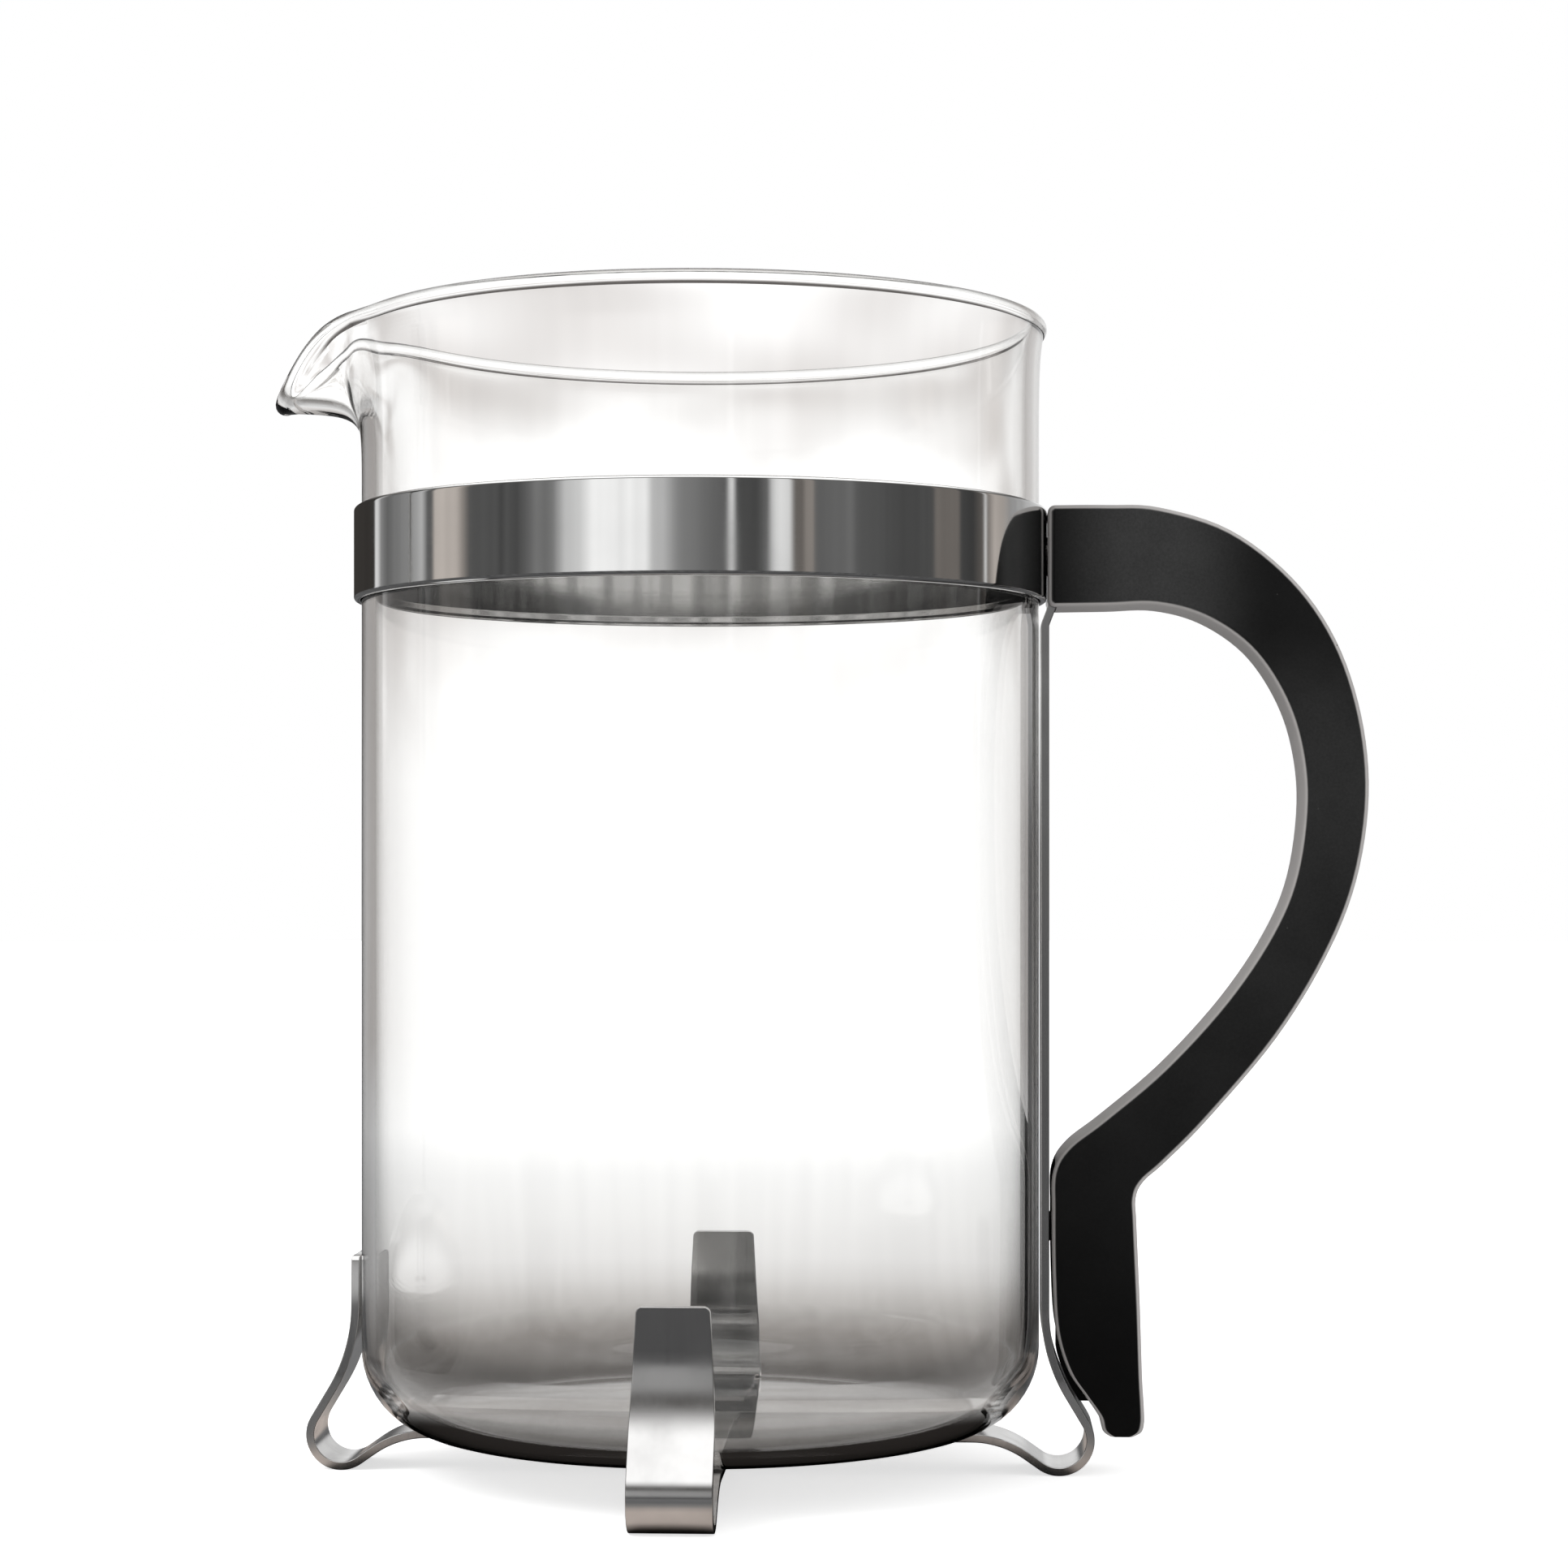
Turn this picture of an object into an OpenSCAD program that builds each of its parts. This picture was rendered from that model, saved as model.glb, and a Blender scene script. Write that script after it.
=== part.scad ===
// French press. A glass beaker stands in a steel frame of a band, a tall strap and four sprung feet,
// with a black handle screwed to the strap. The lid and plunger are one unit, taken out of the
// beaker for filling and stood beside it on its own filter.
// The origin is on the beaker's axis at table level. The spout points to -X and the handle to +X.

/* [Beaker] */
// Outer radius of the glass wall
glass_r = 50; // [44:0.5:58]
// Thickness of the glass wall
glass_wall = 2; // [1.7:0.1:3]
// Thickness of the glass floor
glass_floor = 2.2; // [1.8:0.1:4]
// Height of the lip's centre line above the table
lip_z = 168; // [160:1:200]
// Height at which the wall starts to open towards the lip
flare_z = 146; // [143:1:150]
// Outer radius of the corner between wall and floor
corner_r = 12.5; // [8:0.5:16]
// Radius of the fire-polished bead along the lip
bead_r = 1.3; // [1.1:0.1:1.8]
// How far the lip opens out beyond the middle of the wall
lip_flare = 0.85; // [0.3:0.05:2]
// How far the spout's tip reaches out beyond the lip
spout_reach = 12.4; // [7:0.2:15]
// How far the spout's tip lies below the lip
spout_drop = 10.4; // [6:0.2:12]
// Angle from the tip at which the spout has lost most of its reach
spout_spread = 13.2; // [11:0.2:17]

/* [Steel frame] */
// Gap between the glass and the steel that holds it
glass_gap = 0.2; // [0.15:0.05:0.4]
// Height of the band's lower edge above the table
band_z = 128; // [110:1:129]
// Height of the band
band_h = 13.5; // [12:0.5:14]
// Thickness of the band's sheet
band_t = 0.6; // [0.5:0.05:0.8]
// How far the band bulges out at its middle
band_crown = 0.35; // [0.1:0.05:0.6]
// Thickness of the strips under the glass
strip_t = 1.2; // [1.1:0.1:1.6]
// Width of the strips under the glass and through the feet
strip_w = 11.6; // [10.5:0.1:13]
// Width of a clip at its free end, and of the tall strap
clip_w = 10.1; // [8:0.1:10.4]
// Height of the clips' free ends above the table
clip_z = 31.5; // [27:0.5:38]
// Height of the free ends of the strip that passes below, at the front and back
cross_clip_z = 30; // [26:0.5:36]
// Height of the glass's underside above the table
glass_z = 6; // [5.5:0.1:8]
// Outer radius of the loop at the bottom of each foot
foot_r = 5.2; // [4.4:0.1:5.5]
// How far the feet reach out beyond the glass
foot_out = 8; // [7:0.2:10]
// Radius of the bend by which a strip leaves the glass's side
knee_r = 24; // [8:1:28]
// Radius of the bend by which a strip leaves the glass's underside
heel_r = 14; // [5:1:16]

/* [Handle] */
// Thickness of the handle across its flat sides
handle_t = 14; // [12.5:0.5:18]
// Radius along the handle's long edges
handle_edge = 1.5; // [0.8:0.1:2.5]
// How far the handle reaches out from its end face at the band
handle_reach = 45.8; // [40:0.5:60]
// Height of the handle's lower end above the table
handle_z = 5.9; // [5:0.1:7]
// Height of the lower end of the rib that rests on the strip
rib_z = 10.8; // [9:0.2:14]
// Height of the lower screw above the table
leg_screw_z = 36; // [30:0.5:40]

/* [Screws] */
// Radius of the screw threads
screw_r = 2; // [1.5:0.1:2.2]
// Radius of the countersunk heads
head_r = 3.4; // [3:0.1:3.8]
// Length of the screws with their heads
screw_l = 10.5; // [9.5:0.5:11]
// Outer radius of the threaded inserts in the handle
insert_r = 3; // [2.7:0.1:3.4]
// Length of the threaded inserts
insert_l = 7.5; // [6:0.5:8]

/* [Plunger] */
// Distance from the beaker's axis to the plunger that stands beside it
plunger_gap = 165; // [150:1:200]
// Radius of the plunger rod
rod_r = 2.4; // [2:0.1:3]
// How far the lid slides along the rod
lid_travel = 138.5; // [110:0.5:150]
// Clearance of turning and sliding fits
run_gap = 0.05; // [0.03:0.01:0.08]
// Clearance of the filter in the glass
filter_gap = 0.2; // [0.1:0.05:0.5]
// Radius of the spring's coils around the filter
coil_r = 2.3; // [2:0.1:2.6]
// Thickness of the cross plate and the spiral plate
plate_t = 0.8; // [0.6:0.1:1.2]
// Thickness of the woven mesh screen
mesh_t = 0.4; // [0.3:0.05:0.6]
// Height of the cross plate's turned-up rim
cross_rim_h = 2.35; // [1.8:0.05:3]
// Outer radius of the threaded hub under the rod
hub_r = 5.5; // [4.5:0.1:6.5]
// Height of the knob
knob_h = 24; // [20:0.5:32]
// Largest radius of the knob
knob_r = 12.8; // [11:0.2:16]

/* [Lid] */
// Height of the lid's dome above the glass
dome_h = 13; // [10:0.5:20]
// Thickness of the dome's sheet
dome_t = 0.8; // [0.6:0.1:1.2]
// How far the lid's edge reaches out beyond the glass wall
lid_over = 2.3; // [1.9:0.1:4]
// Depth of the ring that drops into the glass
ring_depth = 12; // [8:0.5:14]
// Thickness of the ring
ring_t = 1.6; // [1.2:0.1:2.2]
// Clearance of the ring in the glass
ring_gap = 0.6; // [0.3:0.1:1]
// Outer radius of the bush that guides the rod
bush_r = 5; // [4.5:0.1:6]
// Number of strainer slots in the ring
slot_count = 9; // [5:2:13]
// Width of a strainer slot
slot_w = 2.2; // [1.5:0.1:3]

/* [Hidden] */
$fn = 96;

steel = [0.80, 0.81, 0.82];
polished = [0.87, 0.88, 0.89];
black = [0.11, 0.11, 0.11];
brass = [0.80, 0.63, 0.33];
glass = [0.80, 0.86, 0.87, 0.4];

// Glass
bore_r = glass_r - glass_wall;
wall_mid = glass_r - glass_wall / 2;
lip_r = wall_mid + lip_flare;
rim_half = glass_wall / 2 - 0.08;
rim_lap = 0.5;
rim_steps = 96;
rim_crowding = 0.55;
curve_steps = 8;
bead_steps = 8;

// Frame
rest_z = glass_z - strip_t / 2;
clip_r = glass_r + glass_gap + strip_t / 2;
loop_line = foot_r - strip_t / 2;
loop_at = [glass_r + foot_out - foot_r, foot_r];
slope_in = -125;
slope_out = 31;
lap_l = strip_w / 2 + 2.5;
lap_ramp = 4;
band_mid_z = band_z + band_h / 2;
band_in = glass_r + glass_gap + band_crown;
band_out = band_in + band_t;
strap_in = band_out + 0.05;
strap_top = band_z + band_h - 1.5;
rivet_r = 2;
rivet_head = rivet_r + strip_t - 0.1;

// Handle
arm_x = band_out + 0.7;
handle_h = band_z + band_h - handle_z;
drawn_w = 45.8;
drawn_h = 135.6;
leg_screw_x = glass_r + glass_gap + 0.15;
arm_screw_x = band_in + 0.1;
seat_clear = 0.06;
insert_start = 3;

// Filter stack, from the table up
filter_r = bore_r - filter_gap;
coil_at = filter_r - coil_r;
plate_r = coil_at - coil_r - 0.05;
mesh_z = cross_rim_h + 0.05;
spiral_z = mesh_z + mesh_t + 0.05;
hub_top = spiral_z + plate_t + 1.95;
collar_r = hub_r + 2.5;
collar_z = spiral_z + plate_t + 0.05;
collar_top = hub_top + 1;
rod_z = plate_t + 1;

// Lid, measured from the plane that rests on the glass
bush_drop = ring_depth - 1;
lid_z = collar_top + 0.1 + bush_drop;
flange_t = 1.5;
boss_r = bush_r + 3;
bush_flange_r = bush_r + 2.4;
dome_top = dome_h + 0.1;
knob_z = lid_z + dome_top + flange_t + lid_travel + 0.2;
rod_in_knob = 9;

// ---- points and paths ----

function mix(a, b, t) = a + (b - a) * t;

function unit(v) = v / norm(v);

// Points of an arc from angle a to angle b
function arc(at, r, a, b, n) =
    [for (i = [0:n]) at + r * [cos(mix(a, b, i / n)), sin(mix(a, b, i / n))]];

// Points of the rounded corner at q on the way from p to s
function rounded(p, q, s, r, n) =
    let (
        u = unit(q - p),
        v = unit(s - q),
        turn = atan2(u[0] * v[1] - u[1] * v[0], u * v),
        side = turn > 0 ? 1 : -1,
        reach = r * tan(abs(turn) / 2),
        at = q - u * reach + side * r * [-u[1], u[0]],
        from = atan2(-side * u[0], side * u[1])
    )
    arc(at, r, from, from + turn, n);

// Point of a cubic curve
function curve(p, t) =
    pow(1 - t, 3) * p[0] + 3 * t * pow(1 - t, 2) * p[1]
    + 3 * t * t * (1 - t) * p[2] + t * t * t * p[3];

// A path moved sideways by d, to its left when d is positive
function beside(path, d) =
    let (last = len(path) - 1)
    [for (i = [0:last])
        let (v = unit(path[min(i + 1, last)] - path[max(i - 1, 0)]))
        path[i] + d * [-v[1], v[0]]];

function reversed(list) = [for (i = [len(list) - 1:-1:0]) list[i]];

// Outline of a sheet of thickness t that follows a path
function sheet(path, t) = concat(beside(path, t / 2), reversed(beside(path, -t / 2)));

// Smooth value through the rows of a table, at row k and share t of the way to the next
function through(rows, k, t) =
    let (
        last = len(rows) - 1,
        a = rows[max(k - 1, 0)],
        b = rows[k],
        c = rows[min(k + 1, last)],
        d = rows[min(k + 2, last)]
    )
    b + 0.5 * t * ((c - a) + t * ((2 * a - 5 * b + 4 * c - d) + t * (3 * (b - c) + d - a)));

// Triangles between rings of equal size; the rings close on themselves when closed is true,
// and otherwise the first and last ring are capped
module rings(list, closed = false) {
    n = len(list);
    m = len(list[0]);
    spans = closed ? n : n - 1;
    walls = [for (i = [0:spans - 1], j = [0:m - 1], half = [0, 1])
        let (
            a = i * m + j,
            b = ((i + 1) % n) * m + j,
            c = ((i + 1) % n) * m + (j + 1) % m,
            d = i * m + (j + 1) % m
        )
        half == 0 ? [a, b, c] : [a, c, d]];
    caps = closed ? [] : [[for (j = [0:m - 1]) j], [for (j = [m - 1:-1:0]) (n - 1) * m + j]];
    polyhedron(points = [for (ring = list, p = ring) p], faces = concat(walls, caps));
}

// ---- glass beaker ----

// Outline of a round-cornered tub, from its axis out
module tub_outline(r, h, corner) {
    square([r - corner, h]);
    translate([0, corner])
        square([r, h - corner]);
    translate([r - corner, corner])
        circle(corner);
}

// The lip's section at an angle from the spout, as [radius, height] pairs around the glass
function lip_section(angle) =
    let (
        reach = exp(-pow(abs(angle) / spout_spread, 1.84)),
        drop = exp(-pow(abs(angle) / (0.68 * spout_spread), 2.2)),
        lip = [lip_r + spout_reach * reach, lip_z - spout_drop * drop],
        wall_pull = [wall_mid, mix(lip_z - 10, lip_z - spout_drop - 0.4, reach)],
        lip_pull = mix([wall_mid - 0.1, lip_z - 3.5], [wall_mid + 2, lip[1] - 0.4], reach),
        bend = [[wall_mid, flare_z], wall_pull, lip_pull, lip],
        centre = [for (i = [0:curve_steps]) curve(bend, 0.94 * i / curve_steps)],
        along = unit(lip - lip_pull),
        across = [along[1], -along[0]],
        bead = [for (i = [0:bead_steps])
            let (a = mix(-28, 208, i / bead_steps))
            lip + bead_r * (cos(a) * across + sin(a) * along)]
    )
    concat(
        [[wall_mid + rim_half, flare_z - rim_lap]],
        beside(centre, -rim_half),
        bead,
        reversed(beside(centre, rim_half)),
        [[wall_mid - rim_half, flare_z - rim_lap]]
    );

// The flared rim with its pouring spout
module lip() {
    rings([for (i = [rim_steps - 1:-1:0])
        let (
            s = 360 * i / rim_steps - 180,
            angle = s - rim_crowding * sin(s) * 180 / PI
        )
        [for (p = lip_section(angle))
            [p[0] * cos(180 + angle), p[0] * sin(180 + angle), p[1]]]], closed = true);
}

module beaker() color(glass) {
    difference() {
        translate([0, 0, glass_z])
            rotate_extrude()
                tub_outline(glass_r, flare_z - glass_z, corner_r);
        translate([0, 0, glass_z + glass_floor])
            rotate_extrude()
                tub_outline(bore_r, flare_z, corner_r - glass_wall);
    }
    lip();
}

// ---- steel frame ----

// A seat along +X for a countersunk screw whose head starts at x
module screw_seat(x, z, clear, length) {
    translate([x, 0, z])
        rotate([0, 90, 0]) {
            cylinder(r1 = head_r + clear, r2 = screw_r + clear, h = head_r - screw_r);
            cylinder(r = screw_r + clear, h = length);
        }
    translate([x - 2, 0, z])
        rotate([0, 90, 0])
            cylinder(r = head_r + clear, h = 2);
}

module band() color(polished) {
    steps = 12;
    line = [for (i = [0:steps])
        let (share = 2 * i / steps - 1)
        [band_in + band_t / 2 - band_crown * share * share, band_mid_z + share * band_h / 2]];
    difference() {
        rotate_extrude()
            polygon(sheet(line, band_t));
        screw_seat(arm_screw_x, band_mid_z, seat_clear, 6);
    }
}

// Centre line of one foot, from under the glass out, round the loop and up beside the glass
function foot_line(top) =
    let (
        foot_in = loop_at + loop_line * [cos(slope_in), sin(slope_in)],
        down = [sin(slope_in), -cos(slope_in)],
        bend_in = foot_in + down * (rest_z - foot_in[1]) / down[1],
        foot_up = loop_at + loop_line * [cos(slope_out), sin(slope_out)],
        up = [-sin(slope_out), cos(slope_out)],
        bend_up = foot_up + up * (clip_r - foot_up[0]) / up[0]
    )
    concat(
        rounded([0, rest_z], bend_in, foot_in, heel_r, 8),
        arc(loop_at, loop_line, slope_in, slope_out, 24),
        rounded(foot_up, bend_up, [clip_r, top], knee_r, 10)
    );

function mirrored(path) = [for (p = reversed(path)) [-p[0], p[1]]];

// Front outline of a strip, narrower above the feet, with its free corners taken off
module strip_front(top, corner) {
    taper_top = min(clip_z, top) - corner;
    polygon([
        [-strip_w / 2, -1], [strip_w / 2, -1], [strip_w / 2, 14],
        [clip_w / 2, taper_top], [clip_w / 2, top - corner], [clip_w / 2 - corner, top],
        [corner - clip_w / 2, top], [-clip_w / 2, top - corner], [-clip_w / 2, taper_top],
        [-strip_w / 2, 14]
    ]);
}

module strip_block(top, corner, length) {
    rotate([90, 0, 90])
        linear_extrude(length)
            strip_front(top, corner);
}

module strip_sheet(path) {
    rotate([90, 0, 0])
        linear_extrude(strip_w + 2, center = true)
            polygon(sheet(path, strip_t));
}

// Strip from the left foot, under the glass, through the right foot and up to the band
module strap_strip() color(steel) {
    lift = strap_in + strip_t / 2 - clip_r;
    low = [clip_r, band_z - 6];
    high = [clip_r + lift, band_z - 2];
    top = [clip_r + lift, strap_top];
    half = foot_line(clip_z);
    tall = concat(
        foot_line(low[1]),
        rounded([clip_r, 0], low, high, 3, 4),
        rounded(low, high, top, 3, 4),
        [top]
    );
    difference() {
        intersection() {
            strip_sheet(concat(mirrored(concat(half, [[clip_r, clip_z]])), tall));
            union() {
                strip_block(strap_top, 0.5, 80);
                translate([-80, 0, 0])
                    strip_block(clip_z, 1, 80);
            }
        }
        screw_seat(arm_screw_x, band_mid_z, seat_clear, 6);
        screw_seat(leg_screw_x, leg_screw_z, seat_clear, 6);
        rivet_seat(seat_clear);
    }
}

// Strip from the front foot to the back foot, which dips under the other one
module cross_strip() color(steel) {
    dip = [lap_l, rest_z - strip_t];
    rise = [lap_l + lap_ramp, rest_z];
    half = concat(
        rounded([0, dip[1]], dip, rise, 3, 4),
        rounded(dip, rise, [rise[0] + 20, rest_z], 3, 4),
        foot_line(cross_clip_z),
        [[clip_r, cross_clip_z]]
    );
    difference() {
        rotate([0, 0, 90])
            intersection() {
                strip_sheet(concat(mirrored(half), half));
                translate([-80, 0, 0])
                    strip_block(cross_clip_z, 1, 160);
            }
        rivet_seat(seat_clear);
    }
}

// The hole for the rivet, with its countersink on top
module rivet_seat(clear) {
    head_h = rivet_head - rivet_r;
    translate([0, 0, glass_z - 2 * strip_t - 2])
        cylinder(r = rivet_r + clear, h = 2 * strip_t + 2);
    translate([0, 0, glass_z - head_h])
        cylinder(r1 = rivet_r + clear, r2 = rivet_head + clear, h = head_h);
}

module base_rivet() color(steel) {
    foot_z = glass_z - 2 * strip_t;
    head_h = rivet_head - rivet_r;
    fit = seat_clear / 2;
    translate([0, 0, foot_z - 0.5])
        cylinder(r = rivet_r, h = 2 * strip_t);
    translate([0, 0, glass_z - head_h - fit])
        cylinder(r1 = rivet_r, r2 = rivet_head - fit, h = head_h - fit);
    translate([0, 0, foot_z - 1.2])
        cylinder(r1 = rivet_head - 0.8, r2 = rivet_head, h = 1.2);
}

// ---- handle ----

// Stations down the handle: outer x and z, inner x and z, drawn for a reach of 45.8 mm
// and a height of 135.6 mm, from the screw joint's face and the lower end
stations = [
    [-0.7, 135.6, -0.7, 120.8], [8, 135.6, 8, 120.8], [15.5, 135.4, 15.2, 120.7],
    [25.7, 132.1, 21.7, 118.4], [34.7, 125.1, 27.7, 114.1], [41, 116.1, 32.2, 108.1],
    [44.7, 105.1, 34.9, 101.1], [45.8, 93.4, 35.9, 92.6], [44, 81.1, 34.5, 82.1],
    [39.6, 69.9, 31.1, 73.6], [32.4, 58.1, 24.6, 64.1], [22.5, 46.3, 15.7, 54.3],
    [16.3, 40, 7, 46.9], [13.2, 37.2, 2, 42.6], [12.1, 34.8, 0.2, 38.6],
    [12.2, 31, 0.1, 33], [12.7, 19, 0.1, 23.5], [13, 9, 0.5, 15.6],
    [13.2, 5.5, 2.2, 9.8], [13.3, 3.6, 4.6, 6.1], [13.3, 2, 6.7, 3],
    [12.9, 0.7, 7.3, 0.9], [11.6, 0, 8.5, 0]
];

function at_station(row) = [
    arm_x + row[0] * handle_reach / drawn_w, handle_z + row[1] * handle_h / drawn_h,
    arm_x + row[2] * handle_reach / drawn_w, handle_z + row[3] * handle_h / drawn_h
];

// Rounded section of the handle between its outer and inner outline
function handle_section(row, inset) =
    let (
        outer = [row[0], row[1]],
        inner = [row[2], row[3]],
        way = unit(inner - outer),
        half_w = norm(inner - outer) / 2 - inset,
        half_t = handle_t / 2 - inset,
        edge = min(handle_edge, half_w * 0.9),
        middle = (outer + inner) / 2
    )
    [for (corner = [0:3], i = [0:3])
        let (
            a = 90 * corner + 30 * i,
            side = [[1, 1], [-1, 1], [-1, -1], [1, -1]][corner],
            u = side[0] * (half_w - edge) + edge * cos(a),
            v = side[1] * (half_t - edge) + edge * sin(a),
            p = middle + u * way
        )
        [p[0], v, p[1]]];

module handle_body() {
    steps = 4;
    last = len(stations) - 2;
    first_row = at_station(stations[0]);
    rows = [for (k = [0:last], i = [0:steps - 1]) at_station(through(stations, k, i / steps))];
    end_row = at_station(stations[last + 1]);
    rings(concat(
        [handle_section(first_row, 1)],
        [for (i = [0:len(rows) - 1])
            handle_section(i == 0 ? first_row + [1, 0, 1, 0] : rows[i], 0)],
        [handle_section(end_row, 0.6)]
    ));
}

// Rib behind the leg that keeps the handle's foot on the strip
module leg_rib() {
    out = strip_t / 2 + 0.25;
    top = clip_z + 4;
    far = arm_x + 6;
    line = beside(concat([[clip_r, top]], reversed(foot_line(clip_z))), out);
    near = [for (p = line) if (p[1] > loop_at[1] && p[0] > glass_r) p];
    rotate([90, 0, 0])
        linear_extrude(clip_w - 2, center = true)
            intersection() {
                polygon(concat(near, [[far, loop_at[1]], [far, top]]));
                translate([glass_r, rib_z])
                    square([far - glass_r, top - rib_z]);
            }
}

module handle() color(black) {
    difference() {
        union() {
            handle_body();
            leg_rib();
        }
        translate([arm_x - 1, -clip_w / 2 - 0.2, handle_z])
            cube([strap_in + strip_t + 0.1 - arm_x + 1, clip_w + 0.4, strap_top + 0.3 - handle_z]);
        for (seat = [[arm_screw_x, band_mid_z], [leg_screw_x, leg_screw_z]]) {
            screw_seat(seat[0], seat[1], seat_clear, screw_l + 1);
            translate([seat[0] + insert_start, 0, seat[1]])
                rotate([0, 90, 0])
                    cylinder(r = insert_r + 0.03, h = insert_l + 0.1);
        }
    }
}

module handle_screw(x, z) {
    head_h = head_r - screw_r;
    difference() {
        translate([x, 0, z])
            rotate([0, 90, 0]) {
                cylinder(r1 = head_r, r2 = screw_r, h = head_h);
                cylinder(r = screw_r, h = screw_l);
            }
        for (turn = [0, 90])
            translate([x, 0, z])
                rotate([turn, 0, 0])
                    cube([1.4, 0.7, 3.2], center = true);
    }
}

// The two countersunk screws that hold the handle, driven from inside the frame
module handle_screws() color(steel) {
    handle_screw(arm_screw_x, band_mid_z);
    handle_screw(leg_screw_x, leg_screw_z);
}

module threaded_insert(x, z) {
    groove_w = 0.8;
    translate([x + insert_start + 0.05, 0, z])
        rotate([0, 90, 0])
            difference() {
                cylinder(r = insert_r, h = insert_l);
                translate([0, 0, -1])
                    cylinder(r = screw_r + run_gap, h = insert_l + 2);
                translate([0, 0, (insert_l - groove_w) / 2])
                    difference() {
                        cylinder(r = insert_r + 1, h = groove_w);
                        cylinder(r = insert_r - 0.4, h = groove_w);
                    }
            }
}

// The two brass inserts moulded into the handle
module handle_inserts() color(brass) {
    threaded_insert(arm_screw_x, band_mid_z);
    threaded_insert(leg_screw_x, leg_screw_z);
}

// ---- filter ----

module at_plunger() {
    translate([-plunger_gap, 0, 0])
        children();
}

// Open sector between two spokes
module window(inner, outer, spoke, turn) {
    rotate(turn)
        intersection() {
            difference() {
                circle(outer);
                circle(inner);
            }
            translate([spoke / 2, spoke / 2])
                square(outer);
        }
}

// Pressed bottom plate with four spokes
module cross_plate() color(steel) at_plunger() {
    difference() {
        union() {
            cylinder(r = plate_r, h = plate_t);
            difference() {
                cylinder(r = plate_r, h = cross_rim_h);
                translate([0, 0, -1])
                    cylinder(r = plate_r - plate_t, h = cross_rim_h + 2);
            }
        }
        for (turn = [0, 90, 180, 270])
            translate([0, 0, -1])
                linear_extrude(plate_t + 2)
                    window(hub_r + 3, plate_r - 5, 7, turn);
        translate([0, 0, -1])
            cylinder(r = hub_r - 2 + run_gap, h = plate_t + 2);
    }
}

// Threaded hub riveted into the cross plate
module hub_nut() color(steel) at_plunger() {
    difference() {
        union() {
            translate([0, 0, plate_t + 0.02])
                cylinder(r = hub_r, h = hub_top - plate_t - 0.02);
            translate([0, 0, 0.1])
                cylinder(r = hub_r - 2, h = plate_t);
        }
        translate([0, 0, rod_z - 0.4])
            cylinder(r = rod_r + run_gap, h = hub_top);
    }
}

// Woven steel screen between the plates
module mesh_screen() color([0.62, 0.63, 0.64]) at_plunger() {
    translate([0, 0, mesh_z])
        difference() {
            cylinder(r = plate_r, h = mesh_t);
            translate([0, 0, -1])
                cylinder(r = hub_r + 0.1, h = mesh_t + 2);
        }
}

// Perforated top plate, whose edge the spring runs around
module spiral_plate() color(polished) at_plunger() {
    rows = 4;
    hole_r = 1.5;
    first = collar_r + 5;
    step = (plate_r - 3.5 - first) / (rows - 1);
    translate([0, 0, spiral_z])
        difference() {
            cylinder(r = plate_r, h = plate_t);
            translate([0, 0, -1])
                cylinder(r = hub_r + 0.1, h = plate_t + 2);
            for (row = [0:rows - 1])
                let (at = first + row * step, count = floor(2 * PI * at / 9))
                for (i = [0:count - 1])
                    rotate(360 * i / count + row * 9)
                        translate([at, 0, -1])
                            cylinder(r = hole_r, h = plate_t + 2, $fn = 24);
        }
}

// Outer shape of the fine coil spring that seals the filter against the glass
module edge_spring() color(steel) at_plunger() {
    translate([0, 0, spiral_z + plate_t / 2])
        rotate_extrude()
            translate([coil_at, 0])
                circle(coil_r);
}

// ---- rod ----

module plunger_rod() color(polished) at_plunger() {
    top = knob_z + rod_in_knob;
    translate([0, 0, rod_z])
        cylinder(r1 = rod_r - 0.4, r2 = rod_r, h = 0.4);
    translate([0, 0, rod_z + 0.4])
        cylinder(r = rod_r, h = top - rod_z - 0.4);
}

// Collar crimped on the rod, which clamps the plates to the hub
module rod_collar() color(polished) at_plunger() {
    difference() {
        union() {
            translate([0, 0, collar_z])
                cylinder(r = collar_r, h = collar_top - collar_z - 0.5);
            translate([0, 0, collar_top - 0.5])
                cylinder(r1 = collar_r, r2 = collar_r - 0.5, h = 0.5);
        }
        translate([0, 0, collar_z - 1])
            cylinder(r = hub_r + 0.1, h = hub_top + 0.05 - collar_z + 1);
        translate([0, 0, collar_z - 1])
            cylinder(r = rod_r + run_gap, h = 10);
    }
}

// Profile of the knob: a slim neck that opens into a rounded cap
function knob_profile() =
    let (
        neck = 6.2,
        waist = [[neck, 0.6], [neck - 1.2, knob_h * 0.25], [knob_r * 0.62, knob_h * 0.36],
            [knob_r * 0.92, knob_h * 0.46]],
        side = [[knob_r * 0.92, knob_h * 0.46], [knob_r * 1.05, knob_h * 0.53],
            [knob_r * 1.04, knob_h * 0.7], [knob_r * 0.9, knob_h * 0.8]],
        cap = [[knob_r * 0.9, knob_h * 0.8], [knob_r * 0.72, knob_h * 0.94],
            [knob_r * 0.4, knob_h], [0, knob_h]]
    )
    concat(
        [[0, 0], [neck - 0.6, 0]],
        [for (i = [0:6]) curve(waist, i / 6)],
        [for (i = [1:7]) curve(side, i / 7)],
        [for (i = [1:8]) curve(cap, i / 8)]
    );

module knob() color(black) at_plunger() {
    translate([0, 0, knob_z])
        difference() {
            rotate_extrude()
                polygon(knob_profile());
            translate([0, 0, -1])
                cylinder(r = rod_r + 1.6 + 0.03, h = rod_in_knob + 2);
        }
}

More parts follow.
